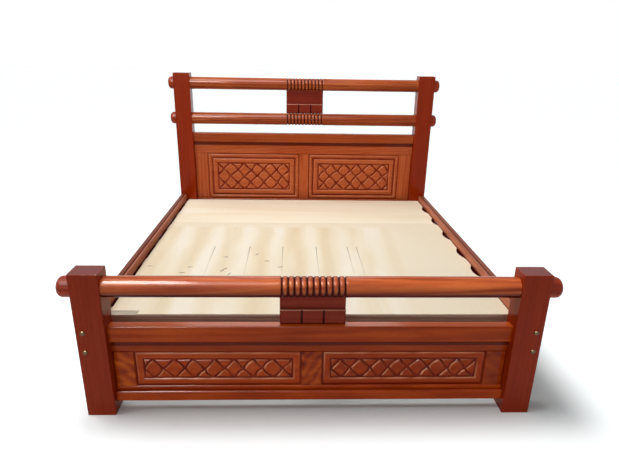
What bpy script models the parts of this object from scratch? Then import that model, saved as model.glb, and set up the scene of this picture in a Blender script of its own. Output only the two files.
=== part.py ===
"""Carved bed frame for a 72 by 75 inch mattress, a knock-down set of jointed hardwood pieces.

Metres, +Z up. The origin is on the floor in the middle of the frame, the foot end lies towards -Y and the
head end towards +Y. The carved faces of both ends look towards -Y.
"""

import math
from itertools import accumulate

import bmesh
import bpy
from mathutils import Euler, Vector

# Fits
FIT_GAP = 0.0003  # every piece but the posts is this much smaller on each side than the space it fills
BOLT_PLAY = 0.0005  # radial clearance of a bolt in its bore

# Overall
FRAME_WIDTH = 1.925  # over the outer faces of the posts
SIDE_RAIL_LENGTH = 1.946  # between foot and head posts

# Posts
POST_WIDTH = 0.120
POST_DEPTH = 0.095
POST_TOP = 0.028  # post above its highest turned rail
POST_EASE = 0.004  # chamfer on the edges of a post

# Turned rails and the knobs on their ends
FOOT_RAIL_GAP = 0.129  # clear gap between the cap rail and the turned rail
HEAD_LOWER_GAP = 0.062
HEAD_UPPER_GAP = 0.166  # clear gap between the two turned rails
TURNED_RADIUS = 0.044
TURNED_TENON_RADIUS = 0.022  # round tenon through the post
TURNED_STEPS = 16  # sides of a turned rail or knob
BEAD_COUNT = 10
BEAD_PITCH = 0.0255
BEAD_HEIGHT = 0.007
BEAD_STEPS = 4  # straight stretches over one bead
BEAD_SHOULDER = 0.010  # slope from the plain rail down to the first bead
FOOT_KNOB_LENGTH = 0.057
HEAD_KNOB_LENGTH = 0.041
KNOB_DOME = 0.022  # height of the rounded end
KNOB_DOME_STEPS = 4
KNOB_SOCKET = 0.015  # how deep the rail's tenon goes into the knob

# Joints of the boards
TENON_SHOULDER = 0.010
TENON_LENGTH = 0.040
GROOVE_DEPTH = 0.009  # groove that holds a panel's tongue or a stile's stub
BOARD_EASE = 0.003  # chamfer along the long edges of a board

# Frames of both ends, across the thickness
FRAME_SETBACK = 0.045  # front of the post to the front of the frame
FRAME_THICKNESS = 0.030
CAP_SETBACK = 0.025
CAP_DEPTH = 0.047

# Footboard, from the floor up and across
FOOT_BOARD_BOTTOM = 0.049
FOOT_BOTTOM_RAIL_HEIGHT = 0.068
FOOT_PANEL_HEIGHT = 0.170
FOOT_TOP_RAIL_HEIGHT = 0.058
FOOT_CAP_HEIGHT = 0.075
FOOT_STILE_WIDTH = 0.087
FOOT_MUNTIN_WIDTH = 0.089
SKIRT_HEIGHT = 0.051
SKIRT_THICKNESS = 0.017

# Headboard, from the floor up and across
HEAD_BOARD_BOTTOM = 0.215
HEAD_BOTTOM_RAIL_HEIGHT = 0.167
HEAD_PANEL_HEIGHT = 0.360
HEAD_TOP_RAIL_HEIGHT = 0.091
HEAD_CAP_HEIGHT = 0.070
HEAD_STILE_WIDTH = 0.096
HEAD_MUNTIN_WIDTH = 0.073

# Carving
CARVE_WIDTH = 0.012  # a V-cut from edge to edge
CARVE_DEPTH = 0.007
BORDER_WIDTH = 0.037  # one border strip round the lattice, V-cut to V-cut
FOOT_BORDER_COUNT = 1
HEAD_BORDER_COUNT = 2
FOOT_HALF_DIAMOND_COUNT = 15  # half diamonds across the lattice
FOOT_ROW_COUNT = 1
FOOT_SHIFT_COUNT = 1  # half diamonds: the left edge lies between two diamonds
HEAD_HALF_DIAMOND_COUNT = 11
HEAD_ROW_COUNT = 2
HEAD_SHIFT_COUNT = 0  # the left edge cuts diamonds in half

# Spacer blocks
SPACER_THICKNESS = 0.027  # of the lower, proud tier
SPACER_STEP = 0.013  # how far the upper tier lies back
FOOT_SPACER_TIER = 0.068  # height of the lower tier
HEAD_SPACER_TIER = 0.073
SPACER_TILE_COUNT = 3  # V-cuts part the lower tier into this many tiles
SPACER_CUT_WIDTH = 0.010
SPACER_CUT_DEPTH = 0.005
CUP_DEPTH = 0.006  # how far a turned rail sinks into the block

# Side rails
SIDE_RAIL_TOP = 0.425
SIDE_RAIL_HEIGHT = 0.170
SIDE_RAIL_THICKNESS = 0.045
RAIL_GROOVE_INSET = 0.029  # outer face to the middle of the groove along the top
RAIL_GROOVE_DEPTH = 0.004

# Bolts and nut plates
BOLT_RADIUS = 0.005
BOLT_HEAD_RADIUS = 0.0105
BOLT_HEAD_HEIGHT = 0.007
BOLT_HEAD_STEPS = 3
BOLT_SIDES = 12
BOLT_TOP_DROP = 0.020  # top of the side rail to the upper bolt
BOLT_SPACING = 0.090
BOLT_TIP = 0.008  # past the nut plate
PLATE_SETBACK = 0.060  # end of the side rail to the nut plate
PLATE_INSET = 0.001  # inner face of the side rail to the edge of the nut plate
PLATE_THICKNESS = 0.006
PLATE_WIDTH = 0.028
PLATE_HEIGHT = 0.114

# Mattress base
DECK_DROP = 0.040  # top of the side rails to the top of the deck
DECK_THICKNESS = 0.012
DECK_SIDE_GAP = 0.0195  # deck to a side rail
DECK_FOOT_GAP = 0.100  # deck to the foot posts
DECK_HEAD_GAP = 0.002  # deck to the head posts
DECK_HEAD_SHEET = 0.565  # length of the short sheet at the head
SLAT_COUNT = 7
SLAT_WIDTH = 0.095
SLAT_THICKNESS = 0.030
LEDGER_WIDTH = 0.030
LEDGER_HEIGHT = 0.032
LEDGER_INSET = 0.010  # end of the ledger to the post
BEARER_WIDTH = 0.045
BEARER_HEIGHT = 0.062
BEARER_BLOCK_WIDTH = 0.100
BEARER_BLOCK_DEPTH = 0.040
BEARER_BLOCK_HEIGHT = 0.045

# Places that follow from the sizes above
FACE_X = FRAME_WIDTH / 2  # outer face of posts and side rails
INNER_X = FACE_X - POST_WIDTH  # inner face of the posts
RAIL_INNER_X = FACE_X - SIDE_RAIL_THICKNESS
END_Y = (SIDE_RAIL_LENGTH + POST_DEPTH) / 2  # middle of the posts
FRAME_Y = FRAME_SETBACK + FRAME_THICKNESS / 2 - POST_DEPTH / 2  # from the middle of the posts
CAP_Y = CAP_SETBACK + CAP_DEPTH / 2 - POST_DEPTH / 2
FRAME_BACK = FRAME_Y + FRAME_THICKNESS / 2
FRAME_FRONT = FRAME_Y - FRAME_THICKNESS / 2
CAP_BACK = CAP_Y + CAP_DEPTH / 2
TONGUE_THICKNESS = FRAME_THICKNESS - 2 * TENON_SHOULDER
FOOT_STACK = (
    FOOT_BOARD_BOTTOM,
    FOOT_BOTTOM_RAIL_HEIGHT,
    FOOT_PANEL_HEIGHT,
    FOOT_TOP_RAIL_HEIGHT,
    FOOT_CAP_HEIGHT,
)
HEAD_STACK = (
    HEAD_BOARD_BOTTOM,
    HEAD_BOTTOM_RAIL_HEIGHT,
    HEAD_PANEL_HEIGHT,
    HEAD_TOP_RAIL_HEIGHT,
    HEAD_CAP_HEIGHT,
)
FOOT_LEVELS = list(accumulate(FOOT_STACK))  # heights of the joints above the floor
HEAD_LEVELS = list(accumulate(HEAD_STACK))
FOOT_CAP_TOP = FOOT_LEVELS[-1]
HEAD_CAP_TOP = HEAD_LEVELS[-1]
FOOT_RAIL_HEIGHT = FOOT_CAP_TOP + FOOT_RAIL_GAP + TURNED_RADIUS  # floor to the rail's axis
HEAD_LOWER_RAIL_HEIGHT = HEAD_CAP_TOP + HEAD_LOWER_GAP + TURNED_RADIUS
HEAD_UPPER_RAIL_HEIGHT = HEAD_LOWER_RAIL_HEIGHT + HEAD_UPPER_GAP + 2 * TURNED_RADIUS
FOOT_POST_HEIGHT = FOOT_RAIL_HEIGHT + TURNED_RADIUS + POST_TOP
HEAD_POST_HEIGHT = HEAD_UPPER_RAIL_HEIGHT + TURNED_RADIUS + POST_TOP
SPACER_WIDTH = BEAD_COUNT * BEAD_PITCH + 2 * BEAD_SHOULDER
BOLT_X = RAIL_INNER_X + PLATE_INSET + PLATE_WIDTH / 2
UPPER_BOLT_HEIGHT = SIDE_RAIL_TOP - BOLT_TOP_DROP
LOWER_BOLT_HEIGHT = UPPER_BOLT_HEIGHT - BOLT_SPACING
DECK_TOP = SIDE_RAIL_TOP - DECK_DROP
DECK_WIDTH = 2 * (RAIL_INNER_X - DECK_SIDE_GAP)
DECK_FOOT_Y = DECK_FOOT_GAP - SIDE_RAIL_LENGTH / 2
DECK_HEAD_Y = SIDE_RAIL_LENGTH / 2 - DECK_HEAD_GAP
BASE_LEVEL = DECK_TOP - DECK_THICKNESS - SLAT_THICKNESS  # top of the ledgers and the centre bearer
SIDES = (("left", -1), ("right", 1))
OVERRUN = 0.010  # how far a cutter reaches out of the face it cuts
MERGE_DISTANCE = 0.00001

TOWARDS_FOOT = Vector((0, -1, 0))
ALONG_X = Euler((0, math.pi / 2, 0))  # turns a piece made along Z
ALONG_Y = Euler((math.pi / 2, 0, 0))


def clear_scene():
    for obj in list(bpy.data.objects):
        bpy.data.objects.remove(obj)


def add_collection(name):
    collection = bpy.data.collections.new(name)
    bpy.context.scene.collection.children.link(collection)
    return collection


def add_material(name, colour, roughness, metallic=0.0):
    material = bpy.data.materials.new(name)
    material.use_nodes = True
    shader = material.node_tree.nodes["Principled BSDF"]
    shader.inputs["Base Color"].default_value = (*colour, 1.0)
    shader.inputs["Roughness"].default_value = roughness
    shader.inputs["Metallic"].default_value = metallic
    return material


def add_group(name, location):
    empty = bpy.data.objects.new(name, None)
    empty.location = location
    PARTS.objects.link(empty)
    return empty


def add_piece(name, bm, material, parent, location):
    mesh = bpy.data.meshes.new(name)
    bm.to_mesh(mesh)
    bm.free()
    mesh.materials.append(material)
    piece = bpy.data.objects.new(name, mesh)
    piece.parent = parent
    piece.location = location
    PARTS.objects.link(piece)
    return piece


def add_cutter(name, bm, parent, location):
    mesh = bpy.data.meshes.new(name)
    bm.to_mesh(mesh)
    bm.free()
    cutter = bpy.data.objects.new(name, mesh)
    cutter.parent = parent
    cutter.location = location
    cutter.hide_render = True
    cutter.display_type = "WIRE"
    CUTTERS.objects.link(cutter)
    return cutter


def cut(piece, cutter):
    modifier = piece.modifiers.new(cutter.name, "BOOLEAN")
    modifier.operation = "DIFFERENCE"
    modifier.object = cutter


def box(size):
    bm = bmesh.new()
    bmesh.ops.create_cube(bm, size=1.0)
    bmesh.ops.scale(bm, vec=size, verts=bm.verts)
    bm.normal_update()
    return bm


def fitted_box(size):
    """Box that fills a space of this size and leaves the fit gap on every side."""
    return box([side - 2 * FIT_GAP for side in size])


def rod(radius, length, sides, turn):
    """Cylinder whose flats clear the radius, made along Z and then turned."""
    bm = bmesh.new()
    outer = radius / math.cos(math.pi / sides)
    bmesh.ops.create_cone(bm, cap_ends=True, segments=sides, radius1=outer, radius2=outer, depth=length)
    bmesh.ops.rotate(bm, verts=bm.verts, matrix=turn.to_matrix())
    return bm


def face_looking(bm, direction):
    """List of the one face that looks most along direction."""
    return [max(bm.faces, key=lambda face: face.normal.dot(direction))]


def inset(bm, faces, width, rise=0.0):
    """Inset the faces as one region, lift them by rise, and give the faces left round them."""
    ring = bmesh.ops.inset_region(
        bm, faces=faces, thickness=width, depth=rise, use_boundary=True, use_even_offset=True
    )
    return ring["faces"]


def inset_each(bm, faces, width, rise):
    bmesh.ops.inset_individual(bm, faces=faces, thickness=width, depth=rise, use_even_offset=True)


def draw_tenon(bm, direction, length):
    """Four-shouldered tenon out of the end face that looks along direction."""
    end = face_looking(bm, direction)
    inset(bm, end, TENON_SHOULDER)
    inset(bm, end, 0.0, length)


def ease_edges(bm, edges, width):
    bmesh.ops.bevel(bm, geom=edges, offset=width, affect="EDGES", segments=1, profile=0.5, material=-1)


def ease_long_edges(bm):
    longest = max(edge.calc_length() for edge in bm.edges) - MERGE_DISTANCE
    ease_edges(bm, [edge for edge in bm.edges if edge.calc_length() > longest], BOARD_EASE)


def plain_board(name, material, parent, location, size):
    bm = fitted_box(size)
    ease_long_edges(bm)
    return add_piece(name, bm, material, parent, location)


def turned_piece(name, profile, sides, material, parent, location, turn):
    """Turned solid from a profile of (radius, height) points that runs from the top down."""
    bm = bmesh.new()
    verts = [bm.verts.new((radius, 0, height)) for radius, height in profile]
    for upper, lower in zip(verts, verts[1:]):
        bm.edges.new((upper, lower))
    piece = add_piece(name, bm, material, parent, location)
    piece.rotation_euler = turn
    screw = piece.modifiers.new("turning", "SCREW")
    screw.axis = "Z"
    screw.steps = sides
    screw.render_steps = sides
    screw.use_merge_vertices = True
    screw.merge_threshold = MERGE_DISTANCE
    screw.use_smooth_shade = True
    return piece


def add_posts(prefix, parent, height):
    posts = {}
    for side, sign in SIDES:
        bm = box((POST_WIDTH, POST_DEPTH, height))
        upper_edges = [edge for edge in bm.edges if any(vert.co.z > 0 for vert in edge.verts)]
        ease_edges(bm, upper_edges, POST_EASE)
        place = (sign * (FACE_X - POST_WIDTH / 2), 0, height / 2)
        posts[side] = add_piece(f"{prefix}_post_{side}", bm, POST_WOOD, parent, place)
    return posts


def beaded_rail_profile(half_tenon):
    """Profile of a turned rail: round tenon, plain length, beads in the middle, and back out."""
    half_plain = INNER_X - FIT_GAP
    half_beads = BEAD_COUNT * BEAD_PITCH / 2
    root = TURNED_RADIUS - BEAD_HEIGHT
    upper = [
        (0, half_tenon),
        (TURNED_TENON_RADIUS, half_tenon),
        (TURNED_TENON_RADIUS, half_plain),
        (TURNED_RADIUS, half_plain),
        (TURNED_RADIUS, half_beads + BEAD_SHOULDER),
    ]
    beads = []
    for bead in range(BEAD_COUNT):
        for step in range(BEAD_STEPS):
            angle = math.pi * step / BEAD_STEPS
            along = bead * BEAD_PITCH + BEAD_PITCH * (1 - math.cos(angle)) / 2
            beads.append((root + BEAD_HEIGHT * math.sin(angle), half_beads - along))
    beads.append((root, -half_beads))
    lower = [(radius, -height) for radius, height in reversed(upper)]
    return upper + beads + lower


def knob_profile(length):
    """Rounded end with a blind socket for the rail's tenon, standing on height 0."""
    dome = []
    for step in range(KNOB_DOME_STEPS + 1):
        angle = math.pi / 2 * step / KNOB_DOME_STEPS
        flat_radius = TURNED_RADIUS - KNOB_DOME
        radius = flat_radius + KNOB_DOME * math.sin(angle)
        dome.append((radius, length - KNOB_DOME + KNOB_DOME * math.cos(angle)))
    socket_radius = (TURNED_TENON_RADIUS + FIT_GAP) / math.cos(math.pi / TURNED_STEPS)
    socket = [
        (TURNED_RADIUS, FIT_GAP),
        (socket_radius, FIT_GAP),
        (socket_radius, KNOB_SOCKET),
        (0, KNOB_SOCKET),
    ]
    return [(0, length)] + dome + socket


def add_turned_rail(rail_name, knob_name, parent, height, knob_length, posts):
    """Rail with its round tenons through both posts and a knob on the end of each tenon."""
    axis = (0, 0, height)
    half_tenon = FACE_X + KNOB_SOCKET - FIT_GAP
    turned_piece(rail_name, beaded_rail_profile(half_tenon), TURNED_STEPS, RAIL_WOOD, parent, axis, ALONG_X)
    bore = rod(TURNED_TENON_RADIUS + FIT_GAP, FRAME_WIDTH + 2 * OVERRUN, TURNED_STEPS, ALONG_X)
    bore_cutter = add_cutter(f"{rail_name}_bore", bore, parent, axis)
    for side, sign in SIDES:
        cut(posts[side], bore_cutter)
        place = (sign * FACE_X, 0, height)
        outward = (0, sign * math.pi / 2, 0)
        profile = knob_profile(knob_length)
        turned_piece(f"{knob_name}_{side}", profile, TURNED_STEPS, RAIL_WOOD, parent, place, outward)


def cross_rail(name, parent, location, size, posts):
    """Board between the posts, with a tenon into each."""
    bm = fitted_box(size)
    for _, sign in SIDES:
        draw_tenon(bm, Vector((sign, 0, 0)), TENON_LENGTH)
    ease_long_edges(bm)
    rail = add_piece(name, bm, RAIL_WOOD, parent, location)
    mortise = (TENON_LENGTH + OVERRUN, size[1] - 2 * TENON_SHOULDER, size[2] - 2 * TENON_SHOULDER)
    for side, sign in SIDES:
        middle = INNER_X + (TENON_LENGTH - OVERRUN) / 2
        cutter = add_cutter(f"{name}_mortise_{side}", box(mortise), parent, (sign * middle, *location[1:]))
        cut(posts[side], cutter)
    return rail


def carved_panel_mesh(width, height, borders, half_diamonds, rows, shift):
    """Panel with a tongue all round, and V-cut border strips and diamonds on the face towards the foot."""
    bm = fitted_box((width + 2 * GROOVE_DEPTH, TONGUE_THICKNESS, height + 2 * GROOVE_DEPTH))
    field = face_looking(bm, TOWARDS_FOOT)
    inset(bm, field, GROOVE_DEPTH)
    for _ in range(borders):
        strip = inset(bm, field, BORDER_WIDTH)
        inset(bm, strip, CARVE_WIDTH / 2, CARVE_DEPTH)
    half_width = max(vert.co.x for vert in field[0].verts)
    half_height = max(vert.co.z for vert in field[0].verts)
    level = field[0].verts[0].co.y
    diamond_width = 4 * half_width / half_diamonds
    diamond_height = 2 * half_height / rows
    for slope in (1, -1):
        for line in range(-rows, half_diamonds // 2 + rows + 1):
            start = Vector(((line + shift / 2) * diamond_width - half_width, level, -half_height))
            across = Vector((1 / diamond_width, 0, slope / diamond_height))
            split_faces(bm, field, start, across)
    inset_each(bm, field, CARVE_WIDTH / 2, CARVE_DEPTH)
    return bm


def split_faces(bm, faces, point, normal):
    """Split the faces in the list by a plane, and put the new faces in the list as well."""
    edges = {edge for face in faces for edge in face.edges}
    verts = {vert for face in faces for vert in face.verts}
    before = set(bm.faces)
    geom = [*faces, *edges, *verts]
    bmesh.ops.bisect_plane(bm, geom=geom, plane_co=point, plane_no=normal, dist=MERGE_DISTANCE)
    faces.extend(face for face in bm.faces if face not in before)


def add_end_frame(prefix, parent, posts, levels, stile_width, muntin_width, carving):
    """Cap, rails, stiles and carved panels of one end, between the joint heights in levels."""
    bottom, panel_bottom, panel_top, cap_bottom, cap_top = levels
    span = 2 * INNER_X
    rails = []
    for part, low, high in (("bottom", bottom, panel_bottom), ("top", panel_top, cap_bottom)):
        place = (0, FRAME_Y, (low + high) / 2)
        size = (span, FRAME_THICKNESS, high - low)
        rails.append(cross_rail(f"{prefix}_{part}_rail", parent, place, size, posts))
    cap_place = (0, CAP_Y, (cap_bottom + cap_top) / 2)
    cross_rail(f"{prefix}_cap_rail", parent, cap_place, (span, CAP_DEPTH, cap_top - cap_bottom), posts)

    panel_height = panel_top - panel_bottom
    middle_height = (panel_bottom + panel_top) / 2
    stiles = {}
    stile_places = (
        ("left", stile_width, stile_width / 2 - INNER_X),
        ("middle", muntin_width, 0),
        ("right", stile_width, INNER_X - stile_width / 2),
    )
    for side, width, x in stile_places:
        bm = fitted_box((width, FRAME_THICKNESS, panel_height))
        for direction in (Vector((0, 0, 1)), Vector((0, 0, -1))):
            draw_tenon(bm, direction, GROOVE_DEPTH)
        ease_long_edges(bm)
        place = (x, FRAME_Y, middle_height)
        stiles[side] = add_piece(f"{prefix}_stile_{side}", bm, RAIL_WOOD, parent, place)
        stub = (width - 2 * TENON_SHOULDER, TONGUE_THICKNESS, panel_height + 2 * GROOVE_DEPTH)
        mortise = add_cutter(f"{prefix}_stile_{side}_mortise", box(stub), parent, place)
        for rail in rails:
            cut(rail, mortise)

    panel_width = INNER_X - stile_width - muntin_width / 2
    for side, sign in SIDES:
        place = (sign * (muntin_width + panel_width) / 2, FRAME_Y, middle_height)
        bm = carved_panel_mesh(panel_width, panel_height, *carving)
        add_piece(f"{prefix}_panel_{side}", bm, PANEL_WOOD, parent, place)
        slot = (panel_width + 2 * GROOVE_DEPTH, TONGUE_THICKNESS, panel_height + 2 * GROOVE_DEPTH)
        groove = add_cutter(f"{prefix}_panel_{side}_groove", box(slot), parent, place)
        for holder in (*rails, stiles["middle"], stiles[side]):
            cut(holder, groove)


def add_spacer_block(name, parent, bottom, top, tier, cup_heights):
    """Block of two tiers, the lower one proud and parted in tiles, hollowed where turned rails meet it."""
    height = top - bottom
    bm = fitted_box((SPACER_WIDTH, SPACER_THICKNESS - SPACER_STEP, height))
    front = face_looking(bm, TOWARDS_FOOT)
    split_faces(bm, front, Vector((0, 0, tier - height / 2)), Vector((0, 0, 1)))
    lower = [face for face in front if face.calc_center_median().z < tier - height / 2]
    for tile in range(1, SPACER_TILE_COUNT):
        cut_x = (tile / SPACER_TILE_COUNT - 0.5) * SPACER_WIDTH
        split_faces(bm, lower, Vector((cut_x, 0, 0)), Vector((1, 0, 0)))
    inset(bm, lower, 0.0, SPACER_STEP - SPACER_CUT_DEPTH)
    inset_each(bm, lower, SPACER_CUT_WIDTH / 2, SPACER_CUT_DEPTH)
    upper_y = CAP_BACK - (SPACER_THICKNESS - SPACER_STEP) / 2
    block = add_piece(name, bm, PANEL_WOOD, parent, (0, upper_y, (bottom + top) / 2))
    for cup_height in cup_heights:
        cup = rod(TURNED_RADIUS + FIT_GAP, SPACER_WIDTH + 2 * OVERRUN, 2 * TURNED_STEPS, ALONG_X)
        cut(block, add_cutter(f"{name}_cup", cup, parent, (0, 0, cup_height)))


def add_side_rail(side, sign, posts):
    """Side rail with its groove, and at each end the nut plate and the two bolts through the post."""
    length = SIDE_RAIL_LENGTH
    middle_height = SIDE_RAIL_TOP - SIDE_RAIL_HEIGHT / 2
    place = (sign * (FACE_X - SIDE_RAIL_THICKNESS / 2), 0, middle_height)
    size = (SIDE_RAIL_THICKNESS, length, SIDE_RAIL_HEIGHT)
    rail = plain_board(f"side_rail_{side}", RAIL_WOOD, BASE, place, size)
    notch = box((math.sqrt(2) * RAIL_GROOVE_DEPTH, length + 2 * OVERRUN, math.sqrt(2) * RAIL_GROOVE_DEPTH))
    groove_x = sign * (FACE_X - RAIL_GROOVE_INSET)
    groove = add_cutter(f"side_rail_{side}_groove", notch, BASE, (groove_x, 0, SIDE_RAIL_TOP - FIT_GAP))
    groove.rotation_euler.y = math.pi / 4
    cut(rail, groove)

    for end, facing, post in (("foot", -1, posts["foot"][side]), ("head", 1, posts["head"][side])):
        plate_y = facing * (length / 2 - PLATE_SETBACK)
        plate_height = (UPPER_BOLT_HEIGHT + LOWER_BOLT_HEIGHT) / 2
        plate_size = (PLATE_WIDTH, PLATE_THICKNESS, PLATE_HEIGHT)
        plate_place = (sign * BOLT_X, plate_y, plate_height)
        plate = add_piece(f"nut_plate_{end}_{side}", fitted_box(plate_size), STEEL, BASE, plate_place)
        slot_outer = BOLT_X + PLATE_WIDTH / 2
        slot_inner = RAIL_INNER_X - OVERRUN
        slot_x = sign * (slot_outer + slot_inner) / 2
        slot = box((slot_outer - slot_inner, PLATE_THICKNESS, PLATE_HEIGHT))
        cut(rail, add_cutter(f"nut_plate_{end}_{side}_slot", slot, BASE, (slot_x, plate_y, plate_height)))
        for level, height in (("upper", UPPER_BOLT_HEIGHT), ("lower", LOWER_BOLT_HEIGHT)):
            head_y = facing * (END_Y + POST_DEPTH / 2)
            reach = POST_DEPTH + PLATE_SETBACK + PLATE_THICKNESS / 2 + BOLT_TIP
            turn = (facing * -math.pi / 2, 0, 0)
            name = f"bolt_{end}_{side}_{level}"
            place = (sign * BOLT_X, head_y, height)
            turned_piece(name, bolt_profile(reach), BOLT_SIDES, BRASS, BASE, place, turn)
            bore_length = reach + FIT_GAP + OVERRUN
            bore_y = head_y - facing * (bore_length / 2 - OVERRUN)
            bore = rod(BOLT_RADIUS + BOLT_PLAY, bore_length, BOLT_SIDES, ALONG_Y)
            bore_cutter = add_cutter(f"{name}_bore", bore, BASE, (sign * BOLT_X, bore_y, height))
            for bored in (post, rail, plate):
                cut(bored, bore_cutter)


def bolt_profile(reach):
    """Domed head above height 0 and a plain shank below it."""
    dome = []
    for step in range(1, BOLT_HEAD_STEPS + 1):
        angle = math.pi / 2 * step / BOLT_HEAD_STEPS
        dome.append((BOLT_HEAD_RADIUS * math.sin(angle), FIT_GAP + BOLT_HEAD_HEIGHT * math.cos(angle)))
    crown = (0, FIT_GAP + BOLT_HEAD_HEIGHT)
    return [crown] + dome + [(BOLT_RADIUS, FIT_GAP), (BOLT_RADIUS, -reach), (0, -reach)]


def add_mattress_base():
    """Ledgers, centre bearer on its blocks, slats and the two plywood sheets."""
    for side, sign in SIDES:
        place = (sign * (RAIL_INNER_X - LEDGER_WIDTH / 2), 0, BASE_LEVEL - LEDGER_HEIGHT / 2)
        size = (LEDGER_WIDTH, SIDE_RAIL_LENGTH - 2 * LEDGER_INSET, LEDGER_HEIGHT)
        plain_board(f"ledger_{side}", RAIL_WOOD, BASE, place, size)

    bearer_foot = max(FRAME_BACK, CAP_BACK) - END_Y
    bearer_head = FRAME_FRONT + END_Y
    bearer_place = (0, (bearer_foot + bearer_head) / 2, BASE_LEVEL - BEARER_HEIGHT / 2)
    bearer_size = (BEARER_WIDTH, bearer_head - bearer_foot, BEARER_HEIGHT)
    plain_board("centre_bearer", SLAT_WOOD, BASE, bearer_place, bearer_size)
    block_height = BASE_LEVEL - BEARER_HEIGHT - BEARER_BLOCK_HEIGHT / 2
    block_size = (BEARER_BLOCK_WIDTH, BEARER_BLOCK_DEPTH, BEARER_BLOCK_HEIGHT)
    for end, seat, inward in (("foot", bearer_foot, 1), ("head", bearer_head, -1)):
        block_place = (0, seat + inward * BEARER_BLOCK_DEPTH / 2, block_height)
        plain_board(f"bearer_block_{end}", SLAT_WOOD, BASE, block_place, block_size)

    slat_size = (2 * RAIL_INNER_X, SLAT_WIDTH, SLAT_THICKNESS)
    first = DECK_FOOT_Y + SLAT_WIDTH / 2
    pitch = (DECK_HEAD_Y - DECK_FOOT_Y - SLAT_WIDTH) / (SLAT_COUNT - 1)
    for number in range(SLAT_COUNT):
        place = (0, first + number * pitch, BASE_LEVEL + SLAT_THICKNESS / 2)
        plain_board(f"slat_{number + 1}", SLAT_WOOD, BASE, place, slat_size)

    seam = DECK_HEAD_Y - DECK_HEAD_SHEET
    for end, low, high in (("foot", DECK_FOOT_Y, seam), ("head", seam, DECK_HEAD_Y)):
        place = (0, (low + high) / 2, DECK_TOP - DECK_THICKNESS / 2)
        sheet = fitted_box((DECK_WIDTH, high - low, DECK_THICKNESS))
        add_piece(f"deck_sheet_{end}", sheet, PLYWOOD, BASE, place)


clear_scene()
PARTS = add_collection("carved_bed_frame")
CUTTERS = add_collection("joinery_cutters")
POST_WOOD = add_material("dark_varnished_hardwood", (0.17, 0.025, 0.010), 0.25)
RAIL_WOOD = add_material("varnished_hardwood", (0.28, 0.055, 0.018), 0.25)
PANEL_WOOD = add_material("carved_hardwood", (0.25, 0.048, 0.020), 0.30)
SLAT_WOOD = add_material("bare_softwood", (0.45, 0.32, 0.18), 0.70)
PLYWOOD = add_material("plywood", (0.82, 0.70, 0.50), 0.60)
BRASS = add_material("antique_brass", (0.45, 0.30, 0.13), 0.35, 1.0)
STEEL = add_material("nut_plate_steel", (0.40, 0.40, 0.42), 0.45, 1.0)

FOOTBOARD = add_group("footboard", (0, -END_Y, 0))
HEADBOARD = add_group("headboard", (0, END_Y, 0))
BASE = add_group("mattress_base", (0, 0, 0))

FOOT_POSTS = add_posts("foot", FOOTBOARD, FOOT_POST_HEIGHT)
HEAD_POSTS = add_posts("head", HEADBOARD, HEAD_POST_HEIGHT)

FOOT_CARVING = (FOOT_BORDER_COUNT, FOOT_HALF_DIAMOND_COUNT, FOOT_ROW_COUNT, FOOT_SHIFT_COUNT)
HEAD_CARVING = (HEAD_BORDER_COUNT, HEAD_HALF_DIAMOND_COUNT, HEAD_ROW_COUNT, HEAD_SHIFT_COUNT)
add_end_frame("foot", FOOTBOARD, FOOT_POSTS, FOOT_LEVELS, FOOT_STILE_WIDTH, FOOT_MUNTIN_WIDTH, FOOT_CARVING)
add_end_frame("head", HEADBOARD, HEAD_POSTS, HEAD_LEVELS, HEAD_STILE_WIDTH, HEAD_MUNTIN_WIDTH, HEAD_CARVING)

SKIRT_PLACE = (0, FRAME_FRONT - SKIRT_THICKNESS / 2, FOOT_BOARD_BOTTOM + SKIRT_HEIGHT / 2)
SKIRT_SIZE = (2 * INNER_X, SKIRT_THICKNESS, SKIRT_HEIGHT)
plain_board("foot_skirt_rail", RAIL_WOOD, FOOTBOARD, SKIRT_PLACE, SKIRT_SIZE)

add_turned_rail("foot_turned_rail", "foot_knob", FOOTBOARD, FOOT_RAIL_HEIGHT, FOOT_KNOB_LENGTH, FOOT_POSTS)
for part, rail_height in (("lower", HEAD_LOWER_RAIL_HEIGHT), ("upper", HEAD_UPPER_RAIL_HEIGHT)):
    rail_name = f"head_turned_rail_{part}"
    add_turned_rail(rail_name, f"head_{part}_knob", HEADBOARD, rail_height, HEAD_KNOB_LENGTH, HEAD_POSTS)

SEAT = TURNED_RADIUS - CUP_DEPTH  # a turned rail's axis to the end of a spacer block
FOOT_SPAN = (FOOT_CAP_TOP, FOOT_RAIL_HEIGHT - SEAT)
add_spacer_block("foot_spacer_block", FOOTBOARD, *FOOT_SPAN, FOOT_SPACER_TIER, [FOOT_RAIL_HEIGHT])
HEAD_SPAN = (HEAD_LOWER_RAIL_HEIGHT + SEAT, HEAD_UPPER_RAIL_HEIGHT - SEAT)
HEAD_CUPS = [HEAD_LOWER_RAIL_HEIGHT, HEAD_UPPER_RAIL_HEIGHT]
add_spacer_block("head_spacer_block", HEADBOARD, *HEAD_SPAN, HEAD_SPACER_TIER, HEAD_CUPS)

POSTS = {"foot": FOOT_POSTS, "head": HEAD_POSTS}
for rail_side, rail_sign in SIDES:
    add_side_rail(rail_side, rail_sign, POSTS)
add_mattress_base()
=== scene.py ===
import math
import random

import bmesh
import bpy
from mathutils import Matrix, Vector, noise


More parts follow.
